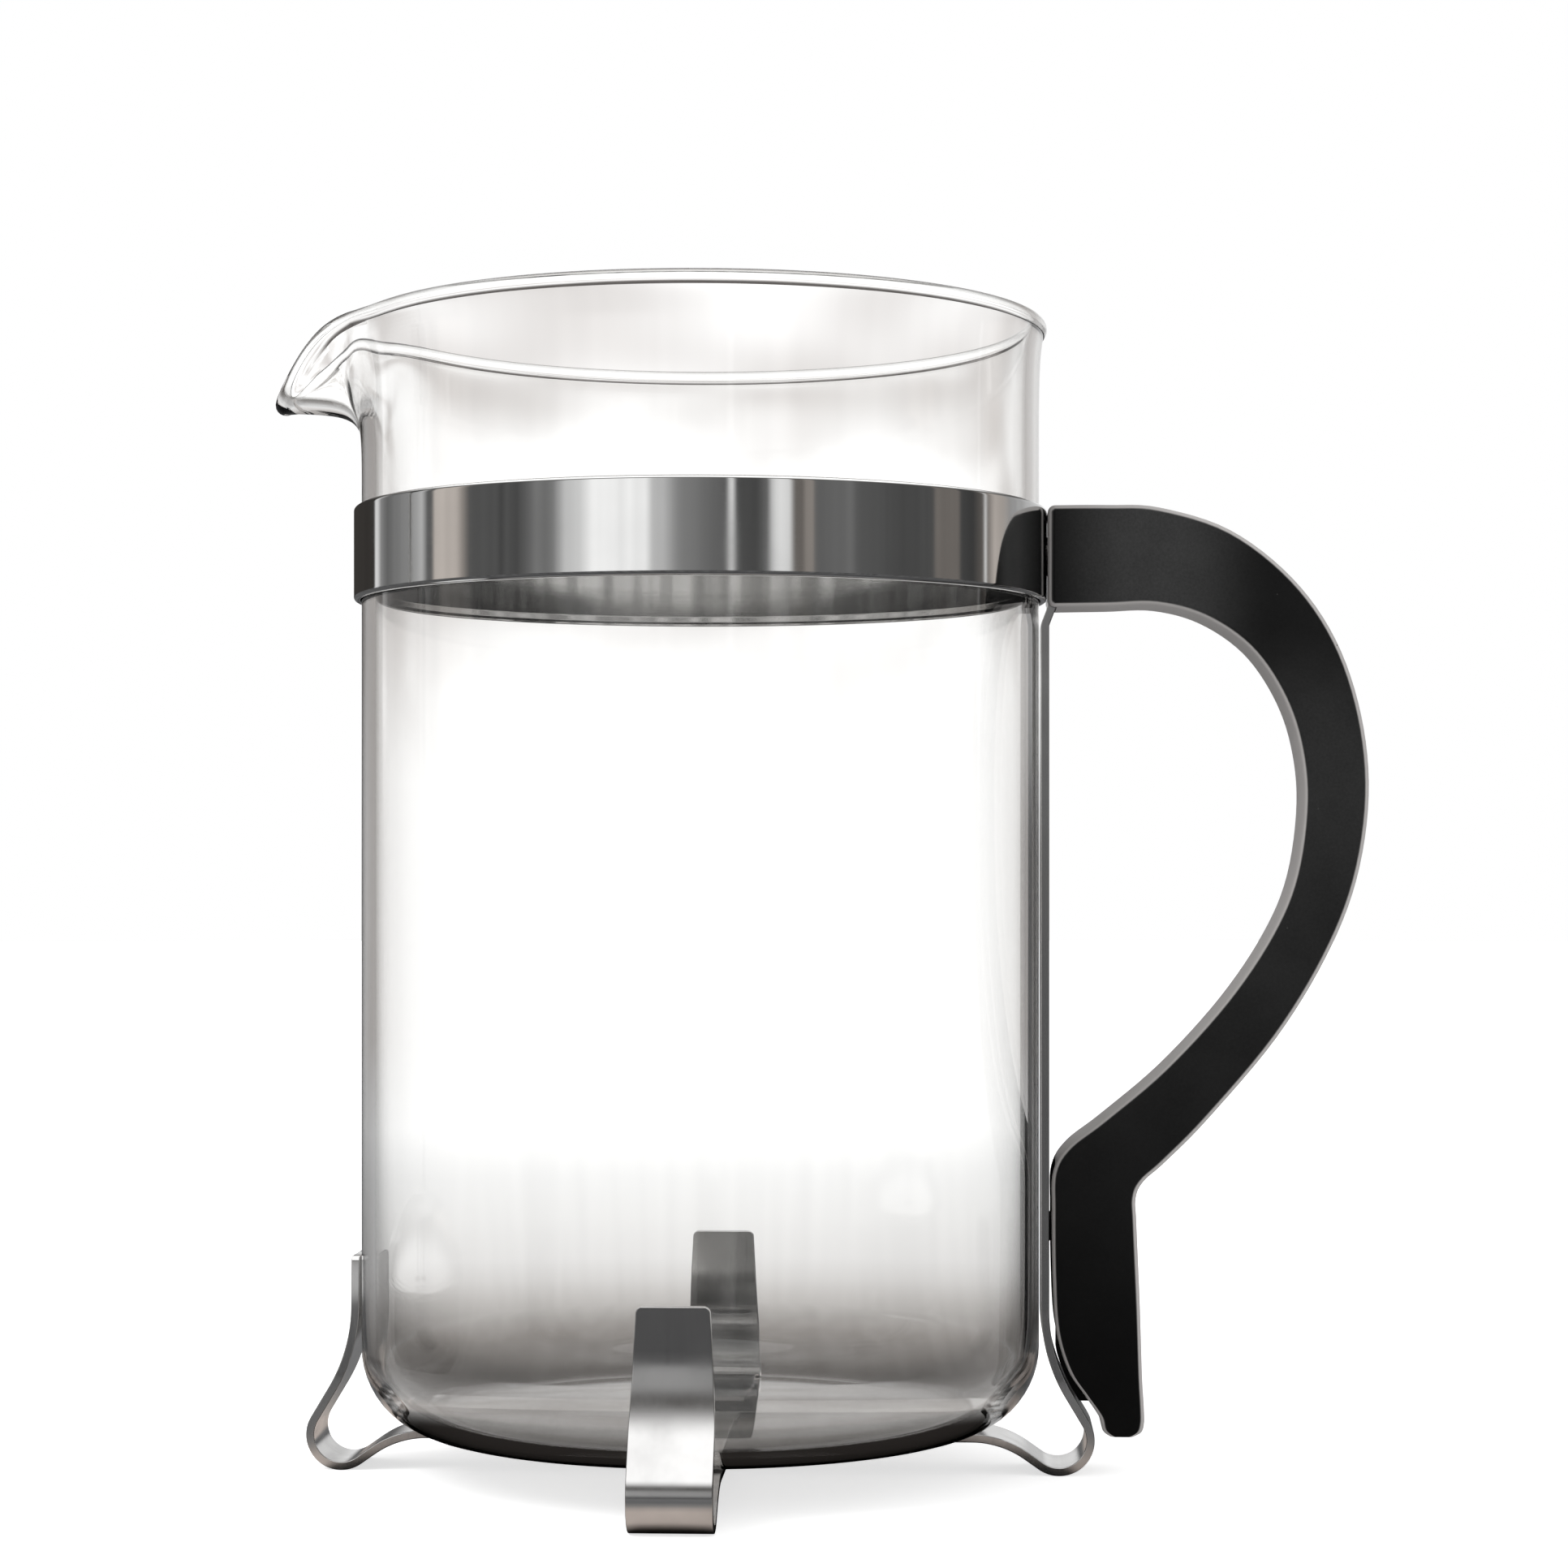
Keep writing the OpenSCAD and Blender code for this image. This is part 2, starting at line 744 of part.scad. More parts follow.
// Threaded brass insert in the knob
module knob_insert() color(brass) at_plunger() {
    translate([0, 0, knob_z + 0.2])
        difference() {
            cylinder(r = rod_r + 1.6, h = rod_in_knob + 0.6);
            translate([0, 0, -1])
                cylinder(r = rod_r + run_gap, h = rod_in_knob + 1);
        }
}

// ---- lid ----

module at_lid() {
    translate([-plunger_gap, 0, lid_z])
        children();
}

// Flanged sleeve that slides along the rod and carries the lid
module lid_bush() color(steel) at_lid() {
    groove_z = 1.15 - bush_drop;
    difference() {
        union() {
            translate([0, 0, -bush_drop])
                cylinder(r = bush_r, h = bush_drop + dome_top + 0.5);
            translate([0, 0, dome_top])
                cylinder(r = bush_flange_r, h = flange_t - 0.5);
            translate([0, 0, dome_top + flange_t - 0.5])
                cylinder(r1 = bush_flange_r, r2 = bush_flange_r - 0.5, h = 0.5);
        }
        translate([0, 0, -bush_drop - 1])
            cylinder(r = rod_r + run_gap, h = bush_drop + dome_top + flange_t + 2);
        translate([0, 0, groove_z])
            difference() {
                cylinder(r = bush_r + 1, h = 0.9);
                cylinder(r = bush_r - 0.6, h = 0.9);
            }
    }
}

// Spring clip in the bush's groove, under the lid's boss
module bush_clip() color(steel) at_lid() {
    translate([0, 0, 1.2 - bush_drop])
        difference() {
            cylinder(r = bush_r + 2, h = 0.8);
            translate([0, 0, -1])
                cylinder(r = bush_r - 0.55, h = 3);
            translate([0, -1, -1])
                cube([bush_r + 3, 2, 3]);
        }
}

// Black moulded insert: a ring that drops into the glass, four arms and a boss for the bush
module lid_insert() color(black) at_lid() {
    ring_r = bore_r - ring_gap;
    flange_r = glass_r + lid_over - dome_t - 0.1;
    boss_foot = 2.1 - bush_drop;
    pitch = 6;
    difference() {
        union() {
            translate([0, 0, -ring_depth])
                cylinder(r = ring_r, h = ring_depth + 0.5);
            cylinder(r = flange_r, h = 1.2);
        }
        translate([0, 0, -ring_depth - 1])
            cylinder(r = ring_r - ring_t, h = ring_depth + 4);
        for (i = [0:slot_count - 1])
            rotate(180 + (i - (slot_count - 1) / 2) * pitch)
                translate([ring_r - ring_t - 1, -slot_w / 2, 3 - ring_depth])
                    cube([ring_t + 2, slot_w, ring_depth - 5]);
    }
    difference() {
        union() {
            translate([0, 0, boss_foot])
                cylinder(r = boss_r, h = dome_h - dome_t - 0.05 - boss_foot);
            for (turn = [45, 135])
                rotate(turn)
                    translate([-ring_r + ring_t / 2, -1.2, -4])
                        cube([2 * ring_r - ring_t, 2.4, 5.2]);
        }
        translate([0, 0, -ring_depth - 1])
            cylinder(r = bush_r + run_gap, h = ring_depth + dome_h + 2);
    }
}

// Spun steel dome
module lid_dome() color(polished) at_lid() {
    edge = glass_r + lid_over - dome_t / 2;
    shoulder = [edge - 1.6, 2.5];
    rise = [shoulder, [edge - 8, dome_h * 0.62], [edge * 0.52, dome_h - dome_t / 2],
        [bush_r + 0.1, dome_h - dome_t / 2]];
    line = concat(
        [[edge, 0.2]],
        rounded([edge, 0], [edge, 2.1], shoulder, 0.9, 5),
        [for (i = [0:16]) curve(rise, i / 16)]
    );
    rotate_extrude()
        polygon(sheet(line, dome_t));
}

beaker();
band();
strap_strip();
cross_strip();
base_rivet();
handle();
handle_screws();
handle_inserts();
cross_plate();
hub_nut();
mesh_screen();
spiral_plate();
edge_spring();
plunger_rod();
rod_collar();
knob();
knob_insert();
lid_bush();
bush_clip();
lid_insert();
lid_dome();
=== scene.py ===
from math import atan2, copysign, cos, degrees, exp, pi, radians, sin, sqrt, tan

import bmesh
import bpy
from bpy.types import Operator, Panel, PropertyGroup
from mathutils import Matrix, Vector


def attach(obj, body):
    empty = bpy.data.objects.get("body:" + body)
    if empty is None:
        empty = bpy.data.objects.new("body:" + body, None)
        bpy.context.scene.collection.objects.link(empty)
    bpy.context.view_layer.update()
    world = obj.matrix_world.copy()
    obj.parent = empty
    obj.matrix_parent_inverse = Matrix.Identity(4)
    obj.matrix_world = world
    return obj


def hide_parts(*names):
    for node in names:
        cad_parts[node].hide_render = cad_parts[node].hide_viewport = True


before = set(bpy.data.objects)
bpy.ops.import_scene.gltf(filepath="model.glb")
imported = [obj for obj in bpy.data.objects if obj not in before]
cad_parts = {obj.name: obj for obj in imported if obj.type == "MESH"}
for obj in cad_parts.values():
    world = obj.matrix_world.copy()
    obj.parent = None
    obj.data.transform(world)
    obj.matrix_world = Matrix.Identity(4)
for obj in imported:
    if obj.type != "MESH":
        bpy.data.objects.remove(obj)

bl_info = {
    "name": "French Press",
    "version": (1, 0, 0),
    "blender": (4, 5, 0),
    "location": "View3D > Sidebar > French Press",
    "description": "A glass beaker in a sprung steel frame with its handle, lid and plunger",
    "category": "Add Mesh",
}


# ---- sizes and colours ----


def number(name, description, default, **kind):
    return bpy.props.FloatProperty(name=name, description=description, default=default, **kind)


def length(name, description, default):
    return number(name, description, default, min=0, unit="LENGTH", precision=5)


def turn(name, description, default):
    return number(name, description, radians(default), subtype="ANGLE")


def share(name, description, default):
    return number(name, description, default, min=0, subtype="FACTOR")


def count(name, description, default):
    return bpy.props.IntProperty(
        name=name, description=description, default=default, min=3, subtype="UNSIGNED"
    )


def colour(name, description, default):
    return bpy.props.FloatVectorProperty(
        name=name, description=description, default=default, size=3, min=0, max=1, subtype="COLOR"
    )


class BeakerSizes(PropertyGroup):
    radius: length("Radius", "Outer radius of the glass wall", 0.05)
    wall: length("Wall", "Thickness of the glass wall", 0.002)
    floor: length("Floor", "Thickness of the glass floor", 0.0022)
    base_z: length("Base height", "Height of the underside above the table", 0.006)
    corner: length("Corner", "Outer radius between wall and floor", 0.0125)
    flare_z: length("Flare height", "Height at which the wall starts to open", 0.146)
    lip_z: length("Lip height", "Height of the lip's centre line", 0.168)
    bead: length("Bead", "Radius of the bead along the lip", 0.0013)
    flare: length("Flare", "How far the lip opens beyond the wall", 0.00085)
    spout_reach: length("Spout reach", "How far the spout reaches beyond the lip", 0.0124)
    spout_drop: length("Spout drop", "How far the spout's tip lies below the lip", 0.0104)
    spout_spread: turn("Spout spread", "Angle over which the spout loses its reach", 13.2)


class FrameSizes(PropertyGroup):
    glass_gap: length("Gap", "Gap between the glass and the steel", 0.0002)
    band_z: length("Band height", "Height of the band's lower edge", 0.128)
    band_h: length("Band width", "Height of the band itself", 0.0135)
    band_t: length("Band sheet", "Thickness of the band", 0.0006)
    crown: length("Crown", "How far the band stands off the glass between its edges", 0.00035)
    band_edge: length("Band edge", "Radius along the band's outer edges", 0.0005)
    strip_t: length("Strip sheet", "Thickness of the strips", 0.0012)
    strip_w: length("Strip width", "Width of the strips under the glass", 0.0116)
    clip_w: length("Clip width", "Width of a clip at its free end", 0.0101)
    clip_z: length("Clip height", "Height of the clips' free ends", 0.0315)
    cross_clip_z: length("Cross clip height", "Height of the front and back clips' ends", 0.03)
    foot_r: length("Foot loop", "Outer radius of the loop in each foot", 0.0052)
    foot_out: length("Foot reach", "How far the feet reach beyond the glass", 0.008)
    knee_r: length("Knee", "Radius of the bend at the glass's side", 0.024)
    heel_r: length("Heel", "Radius of the bend at the glass's underside", 0.014)


class HandleSizes(PropertyGroup):
    thick: length("Thickness", "Thickness across the flat sides", 0.014)
    edge: length("Edge", "Radius along the long edges", 0.0009)
    reach: length("Reach", "How far the handle reaches out", 0.0458)
    foot_z: length("Lower end", "Height of the handle's lower end", 0.0059)
    rib_z: length("Rib end", "Height of the lower end of the rib on the strip", 0.0108)


class PlungerSizes(PropertyGroup):
    gap: length("Place", "Distance from the beaker's axis to the plunger", 0.165)
    rod_r: length("Rod", "Radius of the rod", 0.0024)
    travel: length("Travel", "How far the lid slides along the rod", 0.1385)
    run_gap: length("Running gap", "Clearance of sliding and turning fits", 0.00005)
    filter_gap: length("Filter gap", "Clearance of the filter in the glass", 0.0002)
    coil_r: length("Coil", "Outer radius of the spring's coils", 0.0023)
    wire_r: length("Spring wire", "Radius of the spring's wire", 0.00032)
    turns: count("Turns", "Number of coils round the filter", 168)
    plate_t: length("Plate", "Thickness of the plates", 0.0008)
    mesh_t: length("Screen", "Thickness of the woven screen", 0.0004)
    mesh_pitch: length("Screen pitch", "Distance between the screen's wires", 0.0009)
    cross_rim: length("Cross rim", "Height of the cross plate's rim", 0.00235)
    hub_r: length("Hub", "Radius of the threaded hub", 0.0055)
    knob_h: length("Knob height", "Height of the knob", 0.024)
    knob_r: length("Knob radius", "Largest radius of the knob", 0.0128)


class LidSizes(PropertyGroup):
    dome_h: length("Dome", "Height of the dome above the glass", 0.013)
    dome_t: length("Dome sheet", "Thickness of the dome", 0.0008)
    over: length("Overhang", "How far the edge reaches beyond the glass", 0.0023)
    ring_depth: length("Ring depth", "Depth of the ring inside the glass", 0.012)
    bush_r: length("Bush", "Radius of the bush on the rod", 0.005)
    flange_t: length("Flange", "Thickness of the bush's flange", 0.0015)


class Finishes(PropertyGroup):
    glass: colour("Glass", "Tint of the clear glass", (0.985, 0.985, 0.98))
    # The glass's edge colour is painted shade: the glass darkens where it is seen along its surface
    glass_edge_shade: colour("Glass edge", "Tint of the glass seen along its surface", (0.1, 0.095, 0.09))
    steel: colour("Polished steel", "Colour of the polished band and dome", (0.68, 0.68, 0.675))
    strip: colour("Strip steel", "Colour of the brushed strips", (0.6, 0.595, 0.59))
    plastic: colour("Handle", "Colour of the handle's plastic", (0.024, 0.024, 0.024))
    # The handle's edge colour is a painted highlight along the plastic's edges
    plastic_edge_highlight: colour("Handle's edges", "Tint along the plastic's edges", (0.5, 0.48, 0.47))
    speck: colour("Specks", "Colour of the dust in the moulded surface", (0.045, 0.045, 0.043))
    gloss_black: colour("Knob", "Colour of the knob and lid insert", (0.009, 0.009, 0.0093))
    brass: colour("Brass", "Colour of the threaded inserts", (0.74, 0.52, 0.24))
    screen: colour("Screen", "Colour of the woven screen", (0.52, 0.52, 0.51))


class StageSizes(PropertyGroup):
    distance: length("Distance", "From the camera to the beaker's axis", 0.525)
    aside: length("Aside", "Distance of the camera to the right of the axis", 0.0123)
    height: length("Height", "Height of the camera", 0.0883)
    turned: turn("Turned", "Angle of the camera round the beaker", 2.9)
    lens: number("Lens", "Focal length in mm", 81.26, unit="CAMERA")
    raised: share("Raised", "Upward shift of the picture", 0.0557)
    light: share("Light", "Strength of the even light", 0.8)
    lamp: number("Lamp", "Power of the large lamp", 7.0, unit="POWER")
    lamp_size: length("Lamp size", "Diameter of the large lamp", 0.8)
    floor_r: length("Floor size", "Radius of the floor", 4.0)
    floor: colour("Floor", "Colour of the floor", (0.8, 0.8, 0.8))


SIZE_GROUPS = {
    "press_beaker": BeakerSizes,
    "press_frame": FrameSizes,
    "press_handle": HandleSizes,
    "press_plunger": PlungerSizes,
    "press_lid": LidSizes,
    "press_finish": Finishes,
    "press_stage": StageSizes,
}


def panel(box):
    """The values in one box of the panel."""
    return getattr(bpy.context.scene, "press_" + box)


# ---- points and outlines ----


def mix(a, b, t):
    return a + (b - a) * t


def cubic(points, t):
    a, b, c, d = points
    s = 1 - t
    return a * s**3 + b * 3 * t * s * s + c * 3 * t * t * s + d * t**3


def arc(centre, radius, start, end, steps):
    """Points of an arc between two angles in degrees."""
    angles = [radians(mix(start, end, i / steps)) for i in range(steps + 1)]
    return [Vector(centre) + radius * Vector((cos(a), sin(a))) for a in angles]


def corner_arc(before, at, after, radius, steps):
    """Points that round the corner at one point of a path."""
    come, go = (at - before).normalized(), (after - at).normalized()
    bend = atan2(come.x * go.y - come.y * go.x, come.dot(go))
    if radius <= 0 or abs(bend) < 1e-4:
        return [at]
    side = copysign(1, bend)
    centre = at - come * radius * tan(abs(bend) / 2) + side * radius * Vector((-come.y, come.x))
    start = degrees(atan2(-side * come.x, side * come.y))
    return arc(centre, radius, start, start + degrees(bend), steps)


def rounded(corners, closed=True, steps=5):
    """A path through (x, y, radius) corners, each rounded to its radius."""
    points = [Vector(c[:2]) for c in corners]
    last = len(points) - 1
    path = []
    for i, corner in enumerate(corners):
        if not closed and i in (0, last):
            path.append(points[i])
        else:
            path += corner_arc(
                points[i - 1], points[i], points[(i + 1) % (last + 1)], corner[2], steps
            )
    return path


def beside(path, distance):
    """A path moved to its left by a distance."""
    moved = []
    for i, point in enumerate(path):
        way = (path[min(i + 1, len(path) - 1)] - path[max(i - 1, 0)]).normalized()
        moved.append(point + distance * Vector((-way.y, way.x)))
    return moved


def sheet_outline(path, thick, edge):
    """Closed outline of a sheet along a path, with its ends rounded."""
    left, right = beside(path, thick / 2), beside(path, -thick / 2)
    ends = []
    for line, near, far in ((path, left, right), (path[::-1], right[::-1], left[::-1])):
        inward = (line[1] - line[0]).normalized() * edge * 3
        a, b = far[0], near[0]
        ends.append(corner_arc(a + inward, a, b, edge, 4) + corner_arc(a, b, b + inward, edge, 4))
    return ends[0] + left[1:-1] + ends[1] + right[::-1][1:-1]


# ---- meshes ----


def skin(name, rings, loop=False, caps=False):
    """A mesh between rings of points. A ring of one point is a pole."""
    bm = bmesh.new()
    rows = [[bm.verts.new(p) for p in ring] for ring in rings]
    pairs = list(zip(rows, rows[1:])) + ([(rows[-1], rows[0])] if loop else [])
    for low, high in pairs:
        size = max(len(low), len(high))
        if size == 1:
            continue
        for j in range(size):
            k = (j + 1) % size
            near, far = low[j % len(low)], low[k % len(low)]
            around = (near, far, high[k % len(high)], high[j % len(high)])
            bm.faces.new(list(dict.fromkeys(around)))
    if caps:
        bm.faces.new(rows[0])
        bm.faces.new(rows[-1])
    bmesh.ops.recalc_face_normals(bm, faces=bm.faces)
    return mesh_object(name, bm)


def mesh_object(name, bm):
    """An object from a mesh in the making, smooth but for its sharp edges."""
    mesh = bpy.data.meshes.new(name)
    bm.to_mesh(mesh)
    bm.free()
    mesh.shade_smooth()
    mesh.set_sharp_from_angle(angle=radians(35))
    made = bpy.data.objects.new(name, mesh)
    bpy.context.scene.collection.objects.link(made)
    return made


def lathe(name, outline, at=(0, 0), segments=144):
    """Turns an outline of (radius, height) points about an upright axis."""
    angles = [2 * pi * i / segments for i in range(segments)]
    rings = []
    for r, z in outline:
        around = angles if r > 1e-7 else [pi / 2]
        rings.append([(at[0] + r * cos(a), at[1] + r * sin(a), z) for a in around])
    return skin(name, rings, loop=True)


def turned(name, corners, at=(0, 0), segments=144):
    """A lathe part from (radius, height, rounding) corners."""
    return lathe(name, rounded(corners), at, segments)


def settle(made):
    """Makes what the modifiers give the object's own mesh."""
    graph = bpy.context.evaluated_depsgraph_get()
    mesh = bpy.data.meshes.new_from_object(made.evaluated_get(graph), depsgraph=graph)
    made.modifiers.clear()
    made.data = mesh
    return made


def bevel(made, width, segments=3, limit=40):
    edges = made.modifiers.new("Edges", "BEVEL")
    edges.width = width
    edges.segments = segments
    edges.limit_method = "ANGLE"
    edges.angle_limit = radians(limit)
    edges.harden_normals = True
    return made


def refined(name, node, width):
    """A clean copy of a solid with its sharp edges broken."""
    bm = bmesh.new()
    bm.from_mesh(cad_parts[node].data)
    bmesh.ops.remove_doubles(bm, verts=bm.verts, dist=2e-6)
    bmesh.ops.dissolve_limit(bm, angle_limit=radians(0.6), verts=bm.verts, edges=bm.edges)
    return settle(bevel(mesh_object(name, bm), width, 2))


def box_mesh(name, low, high):
    low, high = Vector(low), Vector(high)
    bm = bmesh.new()
    bmesh.ops.create_cube(bm, size=1)
    fit = Matrix.Translation((high + low) / 2) @ Matrix.Diagonal((*(high - low), 1))
    bmesh.ops.transform(bm, matrix=fit, verts=bm.verts)
    return mesh_object(name, bm)


def combine(made, other, operation):
    """Joins or cuts a closed mesh with another one, which is then removed."""
    tool = made.modifiers.new("Combine", "BOOLEAN")
    tool.operation, tool.object, tool.solver = operation, other, "EXACT"
    settle(made)
    bpy.data.objects.remove(other)


def fitted(made, body, look, node):
    """Gives a piece its finish and its body, and hides the solid that it stands for."""
    if look is not None:
        made.data.materials.clear()
        made.data.materials.append(finish(look))
    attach(made, body)
    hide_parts(node)


def fitted_copies(body, *copies):
    """Puts refined copies of solids on a body."""
    for name, node, edge, slot, look in copies:
        fitted(refined(name, node, edge), body, look, node)


# ---- node trees ----


class Value:
    """A node's output that takes part in plain arithmetic."""

    def __init__(self, tree, socket):
        self.tree, self.socket = tree, socket

    def __add__(self, other):
        return self.tree.math("ADD", self, other)

    def __sub__(self, other):
        return self.tree.math("SUBTRACT", self, other)

    def __rsub__(self, other):
        return self.tree.math("SUBTRACT", other, self)

    def __mul__(self, other):
        return self.tree.math("MULTIPLY", self, other)

    def __truediv__(self, other):
        return self.tree.math("DIVIDE", self, other)

    def __pow__(self, other):
        return self.tree.math("POWER", self, other)

    __radd__, __rmul__ = __add__, __mul__


class Tree:
    """Adds nodes to a shader or geometry tree."""

    def __init__(self, tree):
        self.tree = tree

    def node(self, kind, inputs=None, settings=None):
        """A new node with its settings, then the values or links of its sockets."""
        made = self.tree.nodes.new(kind)
        for key, value in (settings or {}).items():
            if key == "stops":
                self.set_stops(made.color_ramp, value)
            else:
                setattr(made, key, value)
        for key, value in (inputs or {}).items():
            if isinstance(value, Value):
                self.tree.links.new(value.socket, made.inputs[key])
            else:
                made.inputs[key].default_value = value
        return made

    def set_stops(self, ramp, stops):
        while len(ramp.elements) < len(stops):
            ramp.elements.new(1.0)
        for element, (place, shade) in zip(ramp.elements, stops):
            element.position = place
            element.color = rgba(shade)

    def get(self, kind, inputs=None, settings=None, output=0):
        return Value(self, self.node(kind, inputs, settings).outputs[output])

    def math(self, operation, *values):
        return self.get("ShaderNodeMath", dict(enumerate(values)), {"operation": operation})

    def clamp(self, value, low, high):
        """0 at low, 1 at high, and smooth between them."""
        inputs = {0: value, 1: low, 2: high, 3: 0.0, 4: 1.0}
        return self.get("ShaderNodeMapRange", inputs, {"interpolation_type": "SMOOTHSTEP"})

    def vector(self, x, y, z):
        return self.get("ShaderNodeCombineXYZ", {0: x, 1: y, 2: z})

    def parts(self, vector):
        made = self.node("ShaderNodeSeparateXYZ", {0: vector})
        return [Value(self, out) for out in made.outputs]

    def scaled(self, vector, by):
        return self.get("ShaderNodeVectorMath", {0: vector, 3: by}, {"operation": "SCALE"})

    def blend(self, factor, a, b):
        """One colour turning into another."""
        inputs = {0: factor, 6: rgba(a), 7: rgba(b)}
        return self.get("ShaderNodeMix", inputs, {"data_type": "RGBA"}, 2)

    def ramp(self, value, stops):
        return self.get("ShaderNodeValToRGB", {0: value}, {"stops": stops})

    def noise(self, place, scale, detail=2.0, rough=0.5):
        inputs = {"Vector": place, "Scale": scale, "Detail": detail, "Roughness": rough}
        return self.get("ShaderNodeTexNoise", inputs)

    def bump(self, height, distance, strength):
        inputs = {"Height": height, "Distance": distance, "Strength": strength}
        return self.get("ShaderNodeBump", inputs)

    def either(self, factor, a, b):
        """One shader turning into another."""
        return self.get("ShaderNodeMixShader", {0: factor, 1: a, 2: b})

    def place(self):
        return self.get("ShaderNodeTexCoord", output="Object")

    def facing(self):
        """0 where a surface is seen straight on, 1 where it is seen along itself."""
        return self.get("ShaderNodeLayerWeight", {"Blend": 0.5}, output="Facing")


def rgba(value):
    if isinstance(value, Value):
        return value
    return (*value, 1.0) if hasattr(value, "__len__") else (value, value, value, 1.0)


def from_axis(x, y):
    return (x * x + y * y) ** 0.5


def shader_tree(owner):
    """The emptied node tree of a material or of the world."""
    owner.use_nodes = True
    owner.node_tree.nodes.clear()
    return Tree(owner.node_tree)


# ---- finishes ----


# How much of the clear tint shows, from straight on to along the glass; the rest is painted dark shade
# along the glass's edges
CLEAR_OUTSIDE = [(0.0, 1.0), (0.6, 0.99), (0.76, 0.95), (0.9, 0.85), (0.96, 0.5), (1.0, 0.1)]
CLEAR_INSIDE = [(0.0, 1.0), (0.8, 0.99), (0.92, 0.8), (1.0, 0.3)]


def glass_finish(t, shades):
    b = panel("beaker")
    px, py, _ = t.parts(t.place())
    inner = t.math("LESS_THAN", from_axis(px, py), b.radius - b.wall / 2)
    facing = t.facing()
    # Seen edge-on, the glass turns to the painted dark edge shade
    clear = t.blend(inner, t.ramp(facing, CLEAR_OUTSIDE), t.ramp(facing, CLEAR_INSIDE))
    return {
        "Base Color": t.blend(clear, shades.glass_edge_shade, shades.glass),
        "Roughness": 0.0,
        "IOR": 1.47,
        "Transmission Weight": 1.0,
    }


def brushed(t, fine_scales, coarse_scales, depth):
    """Fine brushing lines: noise that is long one way and short the other."""
    x, y, z = t.parts(t.place())
    fine, coarse = (
        t.noise(t.vector(x * a, y * b, z * c), 1.0, detail, rough)
        for (a, b, c), detail, rough in ((fine_scales, 3.0, 0.6), (coarse_scales, 2.0, 0.5))
    )
    return fine * 0.7 + coarse * 0.3, t.bump(fine, depth, 0.35)


def metal(t, colour, dark, patch, rough, normal=None):
    """Bare metal of one colour that is darker in patches."""
    shade = t.blend(patch, colour, [dark * c for c in colour])
    made = {"Base Color": shade, "Metallic": 1.0, "Roughness": rough}
    return made if normal is None else {**made, "Normal": normal}


def steel_finish(t, shades):
    grain, normal = brushed(t, (45, 45, 5200), (60, 60, 1500), 0.0000012)
    smear = t.noise(t.place(), 55.0, 3.0)
    rough = t.clamp(smear, 0.35, 0.8) * 0.05 + grain * 0.05 + 0.025
    return metal(t, shades.steel, 0.93, t.clamp(smear, 0.3, 0.75), rough, normal)


def strip_finish(t, shades):
    grain, normal = brushed(t, (2600, 2600, 70), (700, 700, 40), 0.0000018)
    smear = t.noise(t.place(), 130.0, 4.0)
    rough = t.clamp(smear, 0.3, 0.8) * 0.08 + grain * 0.1 + 0.09
    return metal(t, shades.strip, 0.86, t.clamp(smear, 0.3, 0.75), rough, normal)


def plastic_finish(t, shades):
    """Black moulding with specks; painted light makes it paler up its sides, with a painted sheen on
    the upper arm, painted shade at the bend and a painted highlight along its edges.
    """
    h = panel("handle")
    place = t.place()
    grain = t.noise(place, 2600.0, 3.0, 0.65)
    patch = t.noise(place, 90.0, 3.0)
    cell = t.node("ShaderNodeTexVoronoi", {"Vector": place, "Scale": 420.0})
    cell_at, cell_out = (Value(t, cell.outputs[k]) for k in ("Position", "Distance"))
    pick = t.get("ShaderNodeTexWhiteNoise", {"Vector": cell_at}, {"noise_dimensions": "3D"})
    speck = (1 - t.clamp(cell_out, 0.03, 0.07)) * t.math("GREATER_THAN", pick, 0.93)
    out, sideways, height = t.parts(place)
    # Painted light: a sheen along the upper arm by the band, and painted shade at the top of the bend
    painted_arm_sheen = t.clamp(out, 0.05, 0.062) * (1 - t.clamp(out, 0.068, 0.084))
    top = t.clamp(height, 0.11, 0.124)
    # Painted light that darkens the handle lower down
    painted_light_with_height = t.math("MAXIMUM", t.math("MINIMUM", height * 11.0 - 0.09, 1.0), 0.12)
    # The level mixes the painted light with the moulding's grain and patches
    level = painted_light_with_height * (1 - top * (0.65 - 1.5 * painted_arm_sheen)) * (0.25 + 0.7 * grain + 0.8 * patch)
    body = t.blend(level * 0.4, 0, [2.5 * c for c in shades.plastic])
    facing = t.facing()
    flank = h.thick / 2
    off_middle = t.math("ABSOLUTE", sideways)
    rounding = t.math("GREATER_THAN", off_middle, flank - h.edge)
    # A painted highlight on the rounded edges and where the flat sides are seen along themselves
    painted_edge_highlight = t.clamp(facing, 0.04, 0.2) * rounding + t.clamp(facing, 0.78, 0.84) * (1 - rounding)
    painted_edge_highlight = painted_edge_highlight * t.math("LESS_THAN", off_middle, flank - 0.00002)
    body = t.blend(painted_edge_highlight, body, shades.plastic_edge_highlight)
    return {
        "Base Color": t.blend(speck, body, shades.speck),
        "Roughness": t.clamp(patch, 0.3, 0.75) * 0.1 + grain * 0.1 + 0.5,
        "Normal": t.bump(grain, 0.00001, 0.35),
        "Specular IOR Level": 0.12,
    }


def moulded_finish(t, shades):
    grain, patch = t.noise(t.place(), 1800.0, 2.0), t.noise(t.place(), 120.0, 3.0)
    return {
        "Base Color": t.blend(patch, shades.gloss_black, [1.4 * c for c in shades.gloss_black]),
        "Roughness": t.clamp(patch, 0.3, 0.8) * 0.08 + grain * 0.06 + 0.24,
        "Normal": t.bump(grain, 0.000005, 0.3),
    }


